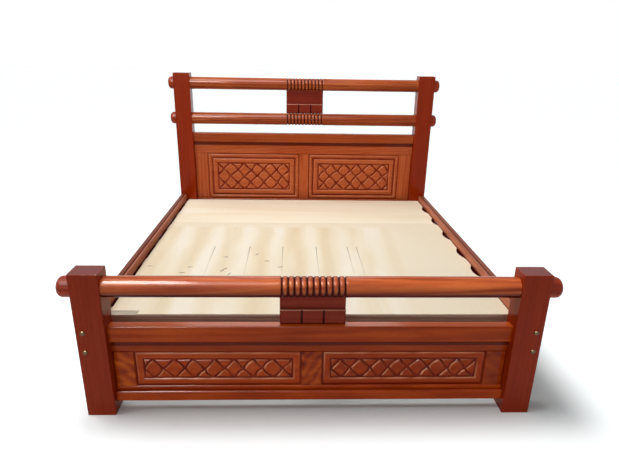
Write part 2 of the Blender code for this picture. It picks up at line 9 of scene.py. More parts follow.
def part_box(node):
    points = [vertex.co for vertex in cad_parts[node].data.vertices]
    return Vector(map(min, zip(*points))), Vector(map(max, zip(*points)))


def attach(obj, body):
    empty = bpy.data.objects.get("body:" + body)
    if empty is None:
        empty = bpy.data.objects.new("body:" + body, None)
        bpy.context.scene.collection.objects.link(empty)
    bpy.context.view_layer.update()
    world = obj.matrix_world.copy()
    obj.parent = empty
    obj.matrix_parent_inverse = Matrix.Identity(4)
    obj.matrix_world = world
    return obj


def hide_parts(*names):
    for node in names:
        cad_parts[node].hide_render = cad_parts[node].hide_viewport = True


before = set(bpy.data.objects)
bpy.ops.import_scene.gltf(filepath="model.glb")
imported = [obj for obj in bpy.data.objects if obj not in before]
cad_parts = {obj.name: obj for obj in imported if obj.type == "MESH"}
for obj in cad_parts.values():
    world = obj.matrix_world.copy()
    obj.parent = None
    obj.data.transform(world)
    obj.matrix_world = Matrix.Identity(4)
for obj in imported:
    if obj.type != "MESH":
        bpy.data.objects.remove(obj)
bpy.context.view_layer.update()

# Corner posts: four squares of hardwood, planed, with their arrises taken off by hand, stained dark and
# varnished. They stand on their end grain, and every rail of the two ends is tenoned into them.
ENDS, SIDES = ("foot", "head"), ("left", "right")
POST_ARRIS = 0.0035
POST_SHADES = (0.25, (0.222, 0.0165, 0.0006), (0.278, 0.0215, 0.0009), (0.344, 0.028, 0.0014))
POST_FIGURE = 0.1
POST_DRIFT = 0.01
END_SHADE = (0.2, 0.026, 0.018)  # end grain takes up more stain
X_AXIS, Y_AXIS, Z_AXIS = range(3)
HAIR = 0.0001  # places nearer than this count as one
WELD = 1e-5  # points nearer than this are joined
STROKE = 0.07  # length of one stroke of the hand plane
STROKE_DEPTH = 0.0004  # how far a planed face wanders
STROKE_WAVES = 7  # how often it does so in a metre
WANDER_SEED = 1
noise.seed_set(WANDER_SEED)  # the same wandering faces in each run
LOG_HALF_LENGTH = 9.0  # a board comes from anywhere along the log
HEART_ASIDE = 0.06  # the heart of the log lies up to this far to the side of a board
HEART_BELOW = (0.05, 0.11)  # and this far below it
GRAIN_DRIFT = 0.03  # slope of the grain to the length of a usual board
SMOOTH_ANGLE = math.radians(33)
VARNISH_IOR = 1.2
VARNISH_BLUR = 0.14
WOOD_BLUR = (0.34, 0.52)
PORE_MASK = ((0.56, (0, 0, 0)), (0.72, (0.3, 0.3, 0.3)))
PORE_SHADE = (0.03, 0.004, 0.001)


def box_mesh(low, high):
    mesh = bmesh.new()
    bmesh.ops.create_cube(mesh, size=1)
    bmesh.ops.scale(mesh, vec=high - low, verts=mesh.verts)
    bmesh.ops.translate(mesh, vec=(low + high) / 2, verts=mesh.verts)
    return mesh


def squared_timber(low, high, arris, along, butt=None):
    """Timber between two corners with rounded arrises, its faces wandering as hand tools leave them.
    butt is the finer rounding of ends that are cut square to meet another piece."""
    mesh = box_mesh(low, high)
    if butt is None:
        round_arrises(mesh, mesh.edges[:], arris)
    else:
        ends = end_edges(mesh, along)
        round_arrises(mesh, [edge for edge in mesh.edges if edge not in ends], arris)
        round_arrises(mesh, end_edges(mesh, along), butt, segments=2)
    cut_across(mesh, along, even_steps(low[along] + STROKE, high[along] - STROKE / 2, STROKE))
    middle = (low + high) / 2
    for vert in mesh.verts:
        if low[along] + arris < vert.co[along] < high[along] - arris:
            shaved = noise.noise_vector(vert.co * STROKE_WAVES)
            for axis in {X_AXIS, Y_AXIS, Z_AXIS} - {along}:
                depth = STROKE_DEPTH * (1 + shaved[axis]) / 2
                vert.co[axis] -= math.copysign(depth, vert.co[axis] - middle[axis])
    return mesh


def end_edges(mesh, along):
    return [edge for edge in mesh.edges if abs(edge.verts[0].co[along] - edge.verts[1].co[along]) < WELD]


def round_arrises(mesh, edges, width, segments=4):
    bmesh.ops.bevel(
        mesh, geom=edges, offset=width, affect="EDGES", segments=segments, profile=0.5, material=-1
    )


def even_steps(first, last, pitch):
    while first < last:
        yield first
        first += pitch


def cut_across(mesh, along, places):
    """Cut the mesh square to an axis at these places, so that it can bend there."""
    normal = Matrix.Identity(3)[along]
    for place in places:
        geom = mesh.verts[:] + mesh.edges[:] + mesh.faces[:]
        bmesh.ops.bisect_plane(mesh, geom=geom, plane_co=normal * place, plane_no=normal, dist=WELD)


def point_layer(mesh, name, rule=None):
    """New layer of a number for each point, which a rule may give."""
    layer = mesh.verts.layers.float.new(name)
    if rule:
        for vert in mesh.verts:
            vert[layer] = float(rule(vert))
    return layer


def lay_grain(mesh, along, seed, drift=GRAIN_DRIFT):
    """Give each point its place in the log: along the fibres, then across them in two directions."""
    luck = random.Random(seed)
    start = luck.uniform(-LOG_HALF_LENGTH, LOG_HALF_LENGTH)
    heart = Vector((start, luck.uniform(-HEART_ASIDE, HEART_ASIDE), luck.uniform(*HEART_BELOW)))
    slopes = Vector((1, luck.uniform(-drift, drift), luck.uniform(-drift, drift)))
    layer = mesh.verts.layers.float_vector.new("grain")
    for vert in mesh.verts:
        length = vert.co[along]
        across = Vector((0, vert.co[(along + 1) % 3], vert.co[(along + 2) % 3]))
        vert[layer] = heart + slopes * length + across


def feed(socket, value):
    """Set a socket to a value, or link it to the output that gives it."""
    if isinstance(value, bpy.types.NodeSocket):
        socket.id_data.links.new(value, socket)
    else:
        socket.default_value = value


def set_inputs(node, inputs):
    for name, value in inputs.items():
        feed(node.inputs[name], value)


def add_node(tree, kind, inputs=None, **settings):
    """Add a shader node with its settings and with what feeds its sockets."""
    node = tree.nodes.new(f"ShaderNode{kind}")
    for name, value in settings.items():
        setattr(node, name, value)
    set_inputs(node, inputs or {})
    return node


def add_ramp(factor, shades):
    """Colour ramp over shades of (place, colour), and the colour that it gives."""
    ramp = add_node(factor.id_data, "ValToRGB", {"Fac": factor})
    elements = ramp.color_ramp.elements
    while len(elements) < len(shades):
        elements.new(0.5)
    for element, (place, colour) in zip(elements, shades):
        element.position = place
        element.color = (*colour, 1)
    return ramp.outputs["Color"]


def three_shades(spread, dark, middle, light, centre=0.5):
    """Shades of wood, the dark and the light one this far to either side of the centre of its figure."""
    return ((centre - spread, dark), (centre, middle), (centre + spread, light))


def add_mix(share, first, second, kind="FLOAT"):
    """Mix of two numbers, or of two colours with kind RGBA."""
    node = add_node(first.id_data, "Mix", data_type=kind)
    sockets = [socket for socket in node.inputs if socket.enabled]
    for socket, value in zip(sockets, (share, first, second)):
        feed(socket, value)
    return next(socket for socket in node.outputs if socket.enabled)


def tint(share, colour, shade):
    """Colour that gives way to a plain shade where share is 1."""
    return add_mix(share, colour, (*shade, 1), "RGBA")


def remap(value, to, span=(0, 1), curve="LINEAR"):
    """Number that goes from the first to the second of to while value goes over the span."""
    inputs = {"Value": value, "From Min": span[0], "From Max": span[1], "To Min": to[0], "To Max": to[1]}
    return add_node(value.id_data, "MapRange", inputs, interpolation_type=curve).outputs[0]


def add_bump(height, strength, depth, **more):
    """Normal of a relief that is this many metres deep."""
    inputs = {"Height": height, "Strength": strength, "Distance": depth, **more}
    return add_node(height.id_data, "Bump", inputs).outputs[0]


def point_value(tree, name, output="Fac"):
    return add_node(tree, "Attribute", attribute_name=name).outputs[output]


def add_noise(place, stretch, detail, distortion=0.0):
    """Noise with this many spots a metre along each axis of place."""
    scaled = add_node(place.id_data, "Mapping", {"Vector": place, "Scale": stretch})
    inputs = {"Vector": scaled.outputs[0], "Scale": 1.0, "Detail": detail, "Distortion": distortion}
    return add_node(place.id_data, "TexNoise", inputs).outputs["Fac"]


def growth_rings(grain, taper, scale, distortion, detail, detail_scale=1.0):
    """Rings round the heart of the log, which taper along it."""
    log = add_node(grain.id_data, "Mapping", {"Vector": grain, "Scale": (taper, 1, 1)})
    inputs = {"Vector": log.outputs[0], "Scale": scale, "Distortion": distortion}
    inputs.update({"Detail": detail, "Detail Scale": detail_scale})
    rings = add_node(grain.id_data, "TexWave", inputs, wave_type="RINGS", rings_direction="X")
    return rings.outputs["Fac"]


def new_material(name):
    material = bpy.data.materials.new(name)
    material.use_nodes = True
    return material, material.node_tree, material.node_tree.nodes["Principled BSDF"]


def varnished_wood(
    name, shades, figure, stain_and_shade_colour, highlight_colour=None, coat=1.0, coat_ior=VARNISH_IOR, streaks_a_metre=26
):
    """Stained hardwood under clear varnish. shades go to three_shades, figure is how strongly the rings
    show, then come the colour of stain and painted shade, and the colour of painted highlights."""
    material, tree, shader = new_material(name)
    grain = point_value(tree, "grain", "Vector")
    ribbon = add_noise(grain, (0.8, streaks_a_metre, streaks_a_metre), 5, 0.4)
    flame = add_noise(grain, (2.4, 9, 9), 3, 1.0)
    pores = add_noise(grain, (26, 800, 800), 2)
    rings = growth_rings(grain, 0.07, 20, 5, 3, 1.2)
    figured = add_mix(figure, add_mix(0.4, ribbon, flame), rings)
    colour = add_ramp(figured, three_shades(*shades))
    colour = tint(add_ramp(pores, PORE_MASK), colour, PORE_SHADE)
    # Painted highlight, as much as each point asks for.
    if highlight_colour:
        colour = tint(point_value(tree, "painted_highlight"), colour, highlight_colour)
    # Stain and painted shade, as much as each point asks for.
    colour = tint(point_value(tree, "stain_and_shade"), colour, stain_and_shade_colour)
    sheen = add_bump(add_noise(grain, (9, 38, 38), 2), 0.35, 0.0012)
    fibre = add_bump(pores, 0.3, 0.0004, Normal=sheen)
    set_inputs(shader, {"Base Color": colour, "Roughness": remap(ribbon, WOOD_BLUR), "Normal": fibre})
    set_inputs(shader, {"Specular IOR Level": 0.0, "Coat Weight": coat, "Coat IOR": coat_ior})
    set_inputs(shader, {"Coat Roughness": VARNISH_BLUR, "Coat Normal": sheen})
    return material


def add_object(name, mesh, materials):
    data = bpy.data.meshes.new(name)
    mesh.to_mesh(data)
    mesh.free()
    for material in materials:
        data.materials.append(material)
    item = bpy.data.objects.new(name, data)
    bpy.context.scene.collection.objects.link(item)
    return item


def add_piece(name, mesh, materials, slot, *nodes):
    """Make the finished mesh a piece of the bed that stands for these nodes of the frame."""
    piece = add_object(name, mesh, materials)
    piece.data.shade_smooth()
    piece.data.set_sharp_from_angle(angle=SMOOTH_ANGLE)
    shading = piece.modifiers.new("even_shading", "WEIGHTED_NORMAL")
    shading.keep_sharp = True
    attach(piece, "root")
    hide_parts(*nodes)


def add_wood(node, kind, mesh, along, material, slot, drift=GRAIN_DRIFT):
    """Piece of wood for one node of the frame, with its grain along an axis."""
    lay_grain(mesh, along, node, drift)
    add_piece(f"{node}_{kind}", mesh, [material], slot, node)


post_wood = varnished_wood("dark_post_wood", POST_SHADES, POST_FIGURE, END_SHADE)
for post in [f"{end}_post_{side}" for end in ENDS for side in SIDES]:
    low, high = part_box(post)
    timber = squared_timber(low, high, POST_ARRIS, Z_AXIS)
    point_layer(timber, "stain_and_shade", lambda vert: vert.co.z > high.z - HAIR)
    add_wood(post, "timber", timber, Z_AXIS, post_wood, "post_wood", POST_DRIFT)

# Frame boards of the two ends: cap, top and bottom rails that run across the bed, upright stiles between
# them, and the skirt strip nailed along the foot. Red-brown hardwood, planed and varnished.
JOINT_LINE = 0.0003  # hairline left where two boards meet
NEAR = 0.001  # a face that the plane has moved lies within this
BOARD_ARRIS = 0.006
SKIRT_ARRIS = 0.01
BUTT_ARRIS = 0.0006
CAP_SHADOW_WIDTH = 0.024  # painted shadow of the cap on the rail below it
CAP_SHADOW_FADE = 0.005
CAP_SHADOW_STRENGTH = 0.85
STILE_DRIFT = {"foot": 0.4, "head": 0.03}  # the figure of the foot stiles lies across them and slopes
RAIL_DRIFT = 0.05
# The foot's top rail is darker, painted shade from the cap above it. The foot's bottom rail and skirt, the
# side planks and the head boards are lighter, painted light. The foot's left stile is painted lighter and
# its right stile darker, as the light falls from the left.
BOARD_SHADES = {
    "foot": (0.22, (0.215, 0.019, 0.001), (0.37, 0.042, 0.0024), (0.53, 0.082, 0.0054)),
    "head": (0.3, (0.36, 0.048, 0.01), (0.495, 0.098, 0.027), (0.63, 0.158, 0.049)),
    "side": (0.3, (0.34, 0.082, 0.036), (0.48, 0.152, 0.08), (0.61, 0.23, 0.135)),
    "foot_top_rail": (0.3, (0.2, 0.0175, 0.001), (0.32, 0.035, 0.0022), (0.44, 0.064, 0.0048)),
    "foot_bottom_rail": (0.3, (0.26, 0.0235, 0.0014), (0.42, 0.048, 0.003), (0.59, 0.092, 0.0068)),
    "head_cap_rail": (0.3, (0.27, 0.033, 0.005), (0.375, 0.066, 0.0135), (0.49, 0.108, 0.0255)),
    "foot_stile_left": (0.16, (0.21, 0.0165, 0.0008), (0.46, 0.062, 0.003), (0.64, 0.125, 0.008)),
    "foot_stile_middle": (0.16, (0.17, 0.013, 0.0008), (0.39, 0.048, 0.0026), (0.56, 0.1, 0.007)),
    "foot_stile_right": (0.2, (0.19, 0.016, 0.001), (0.3, 0.034, 0.0021), (0.39, 0.056, 0.0042)),
}
BOARD_SHADES["foot_skirt_rail"] = BOARD_SHADES["foot_bottom_rail"]
BOARD_FIGURE = 0.12
# Colour of the painted shade on the boards, and of the stain and painted shade in the grooves of the side
# rails.
BOARD_STAIN_AND_SHADE = (0.085, 0.0055, 0.0005)
CAP_TOP_HIGHLIGHT = (0.65, 0.11, 0.015)  # painted light on the top of the foot's cap
SIDE_COAT = 0.5
board_wood = {}
for tone, shades in BOARD_SHADES.items():
    coat = SIDE_COAT if tone == "side" else 1.0
    board_wood[tone] = varnished_wood(f"{tone}_wood", shades, BOARD_FIGURE, BOARD_STAIN_AND_SHADE, CAP_TOP_HIGHLIGHT, coat)
BETWEEN_POSTS = (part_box("foot_post_left")[1].x + JOINT_LINE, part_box("foot_post_right")[0].x - JOINT_LINE)


def frame_board(node, arris, along, drift):
    """Board between the posts, without the tenons that are hidden in them."""
    low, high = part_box(node)
    low.x = max(low.x, BETWEEN_POSTS[0])
    high.x = min(high.x, BETWEEN_POSTS[1])
    end = node.split("_")[0]
    if "stile" in node:
        low.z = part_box(f"{end}_bottom_rail")[1].z + JOINT_LINE
        high.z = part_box(f"{end}_top_rail")[0].z - JOINT_LINE
    board = squared_timber(low, high, arris, along, BUTT_ARRIS)
    # Painted shadow of the cap along the top of each top rail, and painted light on the top of the foot's
    # cap.
    shadow_edge = high.z - CAP_SHADOW_WIDTH
    cut_across(board, Z_AXIS, even_steps(shadow_edge - CAP_SHADOW_FADE, shadow_edge + CAP_SHADOW_FADE, CAP_SHADOW_FADE))
    under_cap, on_cap = "top_rail" in node, node == "foot_cap_rail"
    point_layer(board, "stain_and_shade", lambda vert: CAP_SHADOW_STRENGTH if under_cap and vert.co.z > shadow_edge - NEAR else 0)
    point_layer(board, "painted_highlight", lambda vert: on_cap and vert.co.z > high.z - NEAR)
    fibres = along if end == "head" else X_AXIS
    add_wood(node, "board", board, fibres, board_wood.get(node, board_wood[end]), "rail_wood", drift)


for end in ENDS:
    for place in ("cap", "top", "bottom"):
        frame_board(f"{end}_{place}_rail", BOARD_ARRIS, X_AXIS, RAIL_DRIFT)
    for place in ("left", "middle", "right"):
        frame_board(f"{end}_stile_{place}", BOARD_ARRIS, Z_AXIS, STILE_DRIFT[end])
frame_board("foot_skirt_rail", SKIRT_ARRIS, X_AXIS, RAIL_DRIFT)

# Carved panels: single boards tongued into the grooves of the frame. Border strips and a lattice of lines
# are cut into their faces by hand with a V-gouge, so no two diamonds are quite alike. Stain and painted
# shade gather in the cuts, and a painted highlight lies on the flanks that face up and to the left.
MARGIN = 0.013  # edge of the board to the first strip: the tongue in its groove, then the outermost cut
STRIP_PITCH = 0.045
CUT_DEPTH = 0.007
CUT_HALF = {"foot": 0.0024, "head": 0.0048}  # middle of a cut to the foot of its flank
CUT_FLANKS = ((0.0012, 0.003), (0.0026, 0.0026), (0.0036, 0.0014))  # steps in and up from a cut
MOST_CARVED = 0.8  # share of a small tile that its flanks may take
ROUNDED = 0.75  # how far the corners of a tile stand out, against sharp ones
STRIP_FLANKS = ((0.0018, 0), (0.001, 0.0035), (0.003, 0.0026), (0.005, 0.0009))
LATTICE_SHAKE = {"foot": 0.006, "head": 0.009}  # how far a crossing strays
STRIP_SNAP = 0.006  # a cut across a strip goes through a corner that is nearer than this
LINE_BOW = (-0.006, 0.008)  # how far a line of the lattice bows between two crossings
BOW_CUTS = 5
FACE_SHAKE = 0.0006
FACE_WAVES = 45  # a metre
CARVINGS = {  # widths of the strips and of the cuts between them, half diamonds, rows, shift
    "foot": ((0.033,), 15, 1, 1),
    "head": ((0.026, 0.009, 0.035), 11, 2, 0),
}
# The foot's right panel is painted darker than its left, as the light falls from the left, and the head's
# panels are painted lighter, for the light that falls on the head.
PANEL_SHADES = {
    "foot_panel_left": (0.3, (0.33, 0.034, 0.004), (0.45, 0.059, 0.008), (0.58, 0.086, 0.012)),
    "foot_panel_right": (0.3, (0.27, 0.024, 0.003), (0.365, 0.042, 0.006), (0.47, 0.062, 0.0095)),
    "head": (0.3, (0.41, 0.075, 0.02), (0.52, 0.112, 0.033), (0.64, 0.152, 0.047)),
}
CARVED_FIGURE = 0.15
PANEL_COAT = 0.8
# Colour of the stain and painted shade in the cuts.
CUT_SHADE = {"foot": (0.145, 0.0095, 0.0014), "head": (0.19, 0.016, 0.0035)}
CUT_FLOOR = (0.95, 1.05)  # depths of the floor of a cut, as shares of CUT_DEPTH
CUT_DARKENING_MEAN, CUT_DARKENING_SPREAD, CUT_DARKENING_SPOTS = 0.8, 0.6, 40  # the stain and painted shade there, with its spots a metre
# Painted highlight on the flanks that face up and to the left.
PANEL_HIGHLIGHT_COLOUR = (0.93, 0.37, 0.18)
PANEL_HIGHLIGHT_STRENGTH = {"foot": 1.0, "head": 0.55}
HIGHLIGHT_FLANK = (0.05, 0.6)  # depths of the flank that gets the painted highlight
HIGHLIGHT_ALL_ROUND, HIGHLIGHT_TO_LEFT = 0.1, 0.7  # against 1 on a flank that looks up
HIGHLIGHT_MEAN, HIGHLIGHT_SPREAD, HIGHLIGHT_SPOTS = 0.7, 0.9, 33
TILE_TONES = 0.05  # how far apart in the log two tiles seem to lie
panel_wood = {}
for tone, shades in PANEL_SHADES.items():
    stain_and_shade_colour = CUT_SHADE[tone.split("_")[0]]
    name = f"{tone}_carved_wood"
    panel_wood[tone] = varnished_wood(name, shades, CARVED_FIGURE, stain_and_shade_colour, PANEL_HIGHLIGHT_COLOUR, PANEL_COAT)


def clamp(value):
    return min(max(value, 0), 1)


def inset_ring(mesh, faces, width, rise=0.0):
    """Draw the outline of the faces in, lift them, and give the ring of faces left round them."""
    ring = bmesh.ops.inset_region(
        mesh, faces=faces, thickness=width, depth=rise, use_boundary=True, use_even_offset=True
    )
    return ring["faces"]


def split_faces(mesh, faces, point, normal, snap=WELD):
    """Cut the listed faces by a plane, through corners nearer than snap, and list the new faces too."""
    before = set(mesh.faces)
    edges = dict.fromkeys(edge for face in faces for edge in face.edges)
    verts = dict.fromkeys(vert for face in faces for vert in face.verts)
    bmesh.ops.bisect_plane(mesh, geom=[*faces, *edges, *verts], plane_co=point, plane_no=normal, dist=snap)
    faces.extend(face for face in mesh.faces if face not in before)


def carve_strip(mesh, strip, low, high):
    """Break a border strip into short lengths between its inner corners, and raise it between two cuts."""
    for axis in (X_AXIS, Z_AXIS):
        other = X_AXIS + Z_AXIS - axis
        normal = Matrix.Identity(3)[axis]
        runs = [face for face in strip if spread(face, axis) > spread(face, other)]
        shorts = [face for face in strip if face not in runs]
        for step in range(1, int((high[axis] - low[axis]) / STRIP_PITCH)):
            split_faces(mesh, runs, low + normal * step * STRIP_PITCH, normal, STRIP_SNAP)
        strip = runs + shorts
    for width, rise in STRIP_FLANKS:
        inset_ring(mesh, strip, width, rise)


def spread(face, axis):
    places = [vert.co[axis] for vert in face.verts]
    return max(places) - min(places)


def carve_lattice(mesh, field, half_diamonds, rows, shift, flanks, shake, luck):
    """Cut the field into diamonds by crossed lines that waver, and raise each diamond between its cuts."""
    places = [vert.co.copy() for vert in field[0].verts]
    left, right = min(place.x for place in places), max(place.x for place in places)
    bottom, top = min(place.z for place in places), max(place.z for place in places)
    wide = 2 * (right - left) / half_diamonds
    tall = (top - bottom) / rows
    for slope in (1, -1):
        for line in range(-rows, half_diamonds // 2 + rows + 1):
            start = Vector((left + (line + shift / 2) * wide, places[0].y, bottom))
            split_faces(mesh, field, start, Vector((1 / wide, 0, slope / tall)))
    mesh.verts.index_update()
    mesh.edges.index_update()
    for vert in sorted({vert for face in field for vert in face.verts}, key=lambda vert: vert.index):
        if left + NEAR < vert.co.x < right - NEAR:
            vert.co.x += luck.uniform(-shake, shake)
        if bottom + NEAR < vert.co.z < top - NEAR:
            vert.co.z += luck.uniform(-shake, shake)
    tiles = {face: (tile_middle(face), 2 * face.calc_area() / face.calc_perimeter()) for face in field}
    lines = {edge for tile in field for edge in tile.edges}
    inner = [edge for edge in lines if all(side in tiles for side in edge.link_faces)]
    for edge in sorted(inner, key=lambda edge: edge.index):
        bow_line(mesh, edge, luck.uniform(*LINE_BOW))
    whole_width = sum(width for width, _ in flanks)
    drawn_in = 0
    for width, rise in flanks:
        bmesh.ops.inset_individual(mesh, faces=field, thickness=0, depth=rise)
        for tile, (middle, reach) in tiles.items():
            share = min(1, MOST_CARVED * reach / whole_width)
            size = 1 - share * width / (reach - share * drawn_in)
            bmesh.ops.scale(mesh, vec=(size, 1, size), space=Matrix.Translation(-middle), verts=tile.verts)
            if drawn_in == 0:
                round_corners(tile, middle, reach * size)
        drawn_in += width


def round_corners(tile, middle, reach):
    for vert in tile.verts:
        away = vert.co - middle
        beyond = max(away.length / reach - 1, 0)
        vert.co = middle + away * (1 + ROUNDED * beyond) / (1 + beyond)


def tile_middle(face):
    """Point of a tile that lies about equally far from all its sides."""
    weights = {}
    for vert in face.verts:
        weights[vert] = sum(edge.calc_length() for edge in face.edges if vert not in edge.verts)
    total = sum(weights.values())
    return sum((vert.co * weight for vert, weight in weights.items()), Vector()) / total


def bow_line(mesh, edge, bow):
    """Bend a line of the lattice to one side, most in its middle."""
    start, stop = sorted((vert.co.copy() for vert in edge.verts), key=lambda place: place.z)
    across = (stop - start).cross(Vector((0, 1, 0))).normalized()
    parts = bmesh.ops.bisect_edges(mesh, edges=[edge], cuts=BOW_CUTS)
    for vert in only_verts(parts["geom_split"]):
        share = (vert.co - start).length / (stop - start).length
        vert.co += across * bow * math.sin(math.pi * share)


def only_verts(geom):
    return [item for item in geom if isinstance(item, bmesh.types.BMVert)]


def carved_panel(node, widths, half_diamonds, rows, shift):
    low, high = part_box(node)
    end = node.split("_")[0]
    luck = random.Random(node)
    face_level = low.y + CUT_DEPTH
    mesh = box_mesh(Vector((low.x, face_level, low.z)), high)
    mesh.normal_update()
    field = [min(mesh.faces, key=lambda face: face.normal.y)]
    inset_ring(mesh, field, MARGIN)
    rings = [inset_ring(mesh, field, width) for width in widths]
    flanks = ((CUT_HALF[end], 0), *CUT_FLANKS)
    carve_lattice(mesh, field, half_diamonds, rows, shift, flanks, LATTICE_SHAKE[end], luck)
    for number in range(0, len(rings), 2):
        inside = Vector((1, 0, 1)) * (MARGIN + sum(widths[: number + 1]))
        carve_strip(mesh, rings[number], low + inside, high - inside)
    # Stain and painted shade on the floor of the cuts, and a painted highlight on the flanks that face up
    # and to the left.
    stain_and_shade = point_layer(mesh, "stain_and_shade")
    painted_highlight = point_layer(mesh, "painted_highlight")
    mesh.normal_update()
    for vert in mesh.verts:
        depth = (vert.co.y - low.y) / CUT_DEPTH
        darkened = CUT_DARKENING_MEAN + CUT_DARKENING_SPREAD * noise.noise(vert.co * CUT_DARKENING_SPOTS)
        highlight_share = HIGHLIGHT_ALL_ROUND + vert.normal.z - HIGHLIGHT_TO_LEFT * vert.normal.x
        highlight_share *= HIGHLIGHT_MEAN + HIGHLIGHT_SPREAD * noise.noise(vert.co * HIGHLIGHT_SPOTS)
        vert[stain_and_shade] = clamp(darkened) if CUT_FLOOR[0] < depth < CUT_FLOOR[1] else 0.0
        on_flank = HIGHLIGHT_FLANK[0] < depth < HIGHLIGHT_FLANK[1]
        vert[painted_highlight] = PANEL_HIGHLIGHT_STRENGTH[end] * clamp(highlight_share) if on_flank else 0.0
        if vert.co.y < face_level - HAIR:
            vert.co += noise.noise_vector(vert.co * FACE_WAVES) * FACE_SHAKE
    lay_grain(mesh, X_AXIS, node)
    grain = mesh.verts.layers.float_vector["grain"]
    for tile in field:
        across = [luck.uniform(-TILE_TONES, TILE_TONES) for _ in range(2)]
        for vert in tile.verts:
            vert[grain] += Vector((0, *across))
    add_piece(f"{node}_carving", mesh, [panel_wood.get(node, panel_wood["head"])], "panel_wood", node)


for end, carving in CARVINGS.items():
    for side in SIDES:
        carved_panel(f"{end}_panel_{side}", *carving)

# Turned rails and their knobs: round bars from the lathe, plain towards the posts, with ten beads in the
# middle. They are tenoned through the posts, and a knob with a rounded end is glued on each tenon outside.
LATHE_STEPS = 72
BEAD_COUNT = 10
BEAD_PITCH = 0.0255
HALF_BEADS = BEAD_COUNT * BEAD_PITCH / 2
BEAD_HEIGHT = 0.007
BEAD_ARC = 12
SHOULDER = 0.01
SHOULDER_CURVED = 0.95  # share of the shoulder
SHOULDER_ARC = 6
PLAIN_STEPS = 26
GOUGE_WANDER = 0.0005  # how far the plain length strays from a round bar
GOUGE_WAVES = 9  # a metre
OTHER_HALF = 5  # makes the right half wander in its own way
EASE = 0.001  # taken off the edge of a turned end
KNOB_DOME = 0.022
KNOB_ARC = 10
TURNING_SHADES = {
    "foot": (0.16, (0.3, 0.028, 0.0025), (0.63, 0.102, 0.018), (0.86, 0.2, 0.045), 0.48),
    "head": (0.18, (0.22, 0.025, 0.003), (0.37, 0.064, 0.012), (0.54, 0.12, 0.026)),
    "knob": (0.18, (0.23, 0.019, 0.004), (0.34, 0.034, 0.007), (0.45, 0.054, 0.012)),
}
TURNING_IOR = {"foot": 1.24, "head": 1.24, "knob": 1.22}
TURNING_DRIFT = 0.04
# Colour of the painted shade on the back and the underside, and of the stain and painted shade in the
# grooves.
TURNING_STAIN_AND_SHADE = (0.075, 0.0045, 0.001)
GROOVE_DARKENING, GROOVE_FREE = 2.6, 0.15  # rise of the stain and painted shade into the grooves, and what stays off the beads
BACK_AND_UNDER_SHADE = {"foot": 1.0, "head": 0.15}  # painted shade on the back and the underside
HIGHLIGHT_LEAN = math.pi / 4  # the painted highlight is strongest halfway between the front and the top
# Painted shade: in front it grows as the surface turns away from the upper front, and behind it grows
# towards the bottom.
DARK_FROM, DARK_RANGE = 0.97, 0.735
BACK_DARK, BACK_CURVE = 0.4, 0.6
UPPER_FRONT_HIGHLIGHT = {"foot": 0.35, "head": 0.0}  # strength of the painted highlight on the upper front
HIGHLIGHT_FROM = 0.85
# Colour of the painted highlight on the upper front.
TURNING_HIGHLIGHT_COLOUR = (0.94, 0.215, 0.065)
STREAKS_A_METRE = 60
turning_wood = {}
for tone, shades in TURNING_SHADES.items():
    look = (shades, CARVED_FIGURE, TURNING_STAIN_AND_SHADE, TURNING_HIGHLIGHT_COLOUR, 1.0, TURNING_IOR[tone], STREAKS_A_METRE)
    turning_wood[tone] = varnished_wood(f"{tone}_turned_wood", *look)
TURNED_RAILS = {
    "foot_turned_rail": "foot_knob",
    "head_turned_rail_lower": "head_lower_knob",
    "head_turned_rail_upper": "head_upper_knob",
}


def round_bar(node):
    """Centre and radius of a node that was turned."""
    low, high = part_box(node)
    return (low + high) / 2, (high.z - low.z) / 2


def turn_on_lathe(profile, axis, steps, centre):
    """Spin a profile of (place along the axis, radius) points, and move it to its centre line."""
    mesh = bmesh.new()
    along, out = Matrix.Identity(3)[axis], Matrix.Identity(3)[axis - 1]
    verts = [mesh.verts.new(along * place + out * radius) for place, radius in profile]
    edges = [mesh.edges.new(pair) for pair in zip(verts, verts[1:])]
    bmesh.ops.spin(
        mesh, geom=verts + edges, cent=(0, 0, 0), axis=along, angle=math.tau, steps=steps, use_merge=True
    )
    bmesh.ops.remove_doubles(mesh, verts=mesh.verts, dist=WELD)
    bmesh.ops.recalc_face_normals(mesh, faces=mesh.faces)
    aside = centre.copy()
    aside[axis] = 0
    bmesh.ops.translate(mesh, vec=aside, verts=mesh.verts)
    return mesh


def quarter_turn(steps):
    return [math.pi / 2 * step / steps for step in range(steps + 1)]


def half_rail_profile(half_length, radius, seed):
    """Left half of a turned rail: from its end on the post to the first bead."""
    shoulder = -HALF_BEADS - SHOULDER
    points = [(-half_length, 0), (-half_length, radius - EASE), (-half_length + EASE, radius)]
    for step in range(1, PLAIN_STEPS):
        along = -half_length + (half_length + shoulder) * step / PLAIN_STEPS
        strayed = 0.5 + 0.5 * noise.noise(Vector((along * GOUGE_WAVES, seed, 0)))
        points.append((along, radius - GOUGE_WANDER * strayed))
    for angle in quarter_turn(SHOULDER_ARC):
        along = shoulder + SHOULDER_CURVED * SHOULDER * math.sin(angle)
        points.append((along, radius - BEAD_HEIGHT * (1 - math.cos(angle))))
    return points


def beads_profile(radius):
    points = []
    for step in range(BEAD_COUNT * BEAD_ARC + 1):
        angle = math.pi * (step % BEAD_ARC) / BEAD_ARC
        along = BEAD_PITCH * (step // BEAD_ARC + (1 - math.cos(angle)) / 2 - BEAD_COUNT / 2)
        points.append((along, radius - BEAD_HEIGHT * (1 - math.sin(angle))))
    return points


def knob_profile(inner, outer, radius):
    """Profile from the flat on the post to the crown of the rounded end."""
    outward = math.copysign(1, outer - inner)
    points = [(inner, 0), (inner, radius - EASE), (inner + outward * EASE, radius)]
    for angle in quarter_turn(KNOB_ARC):
        along = outer - outward * KNOB_DOME * (1 - math.sin(angle))
        points.append((along, radius - KNOB_DOME * (1 - math.cos(angle))))
    return points + [(outer, 0)]


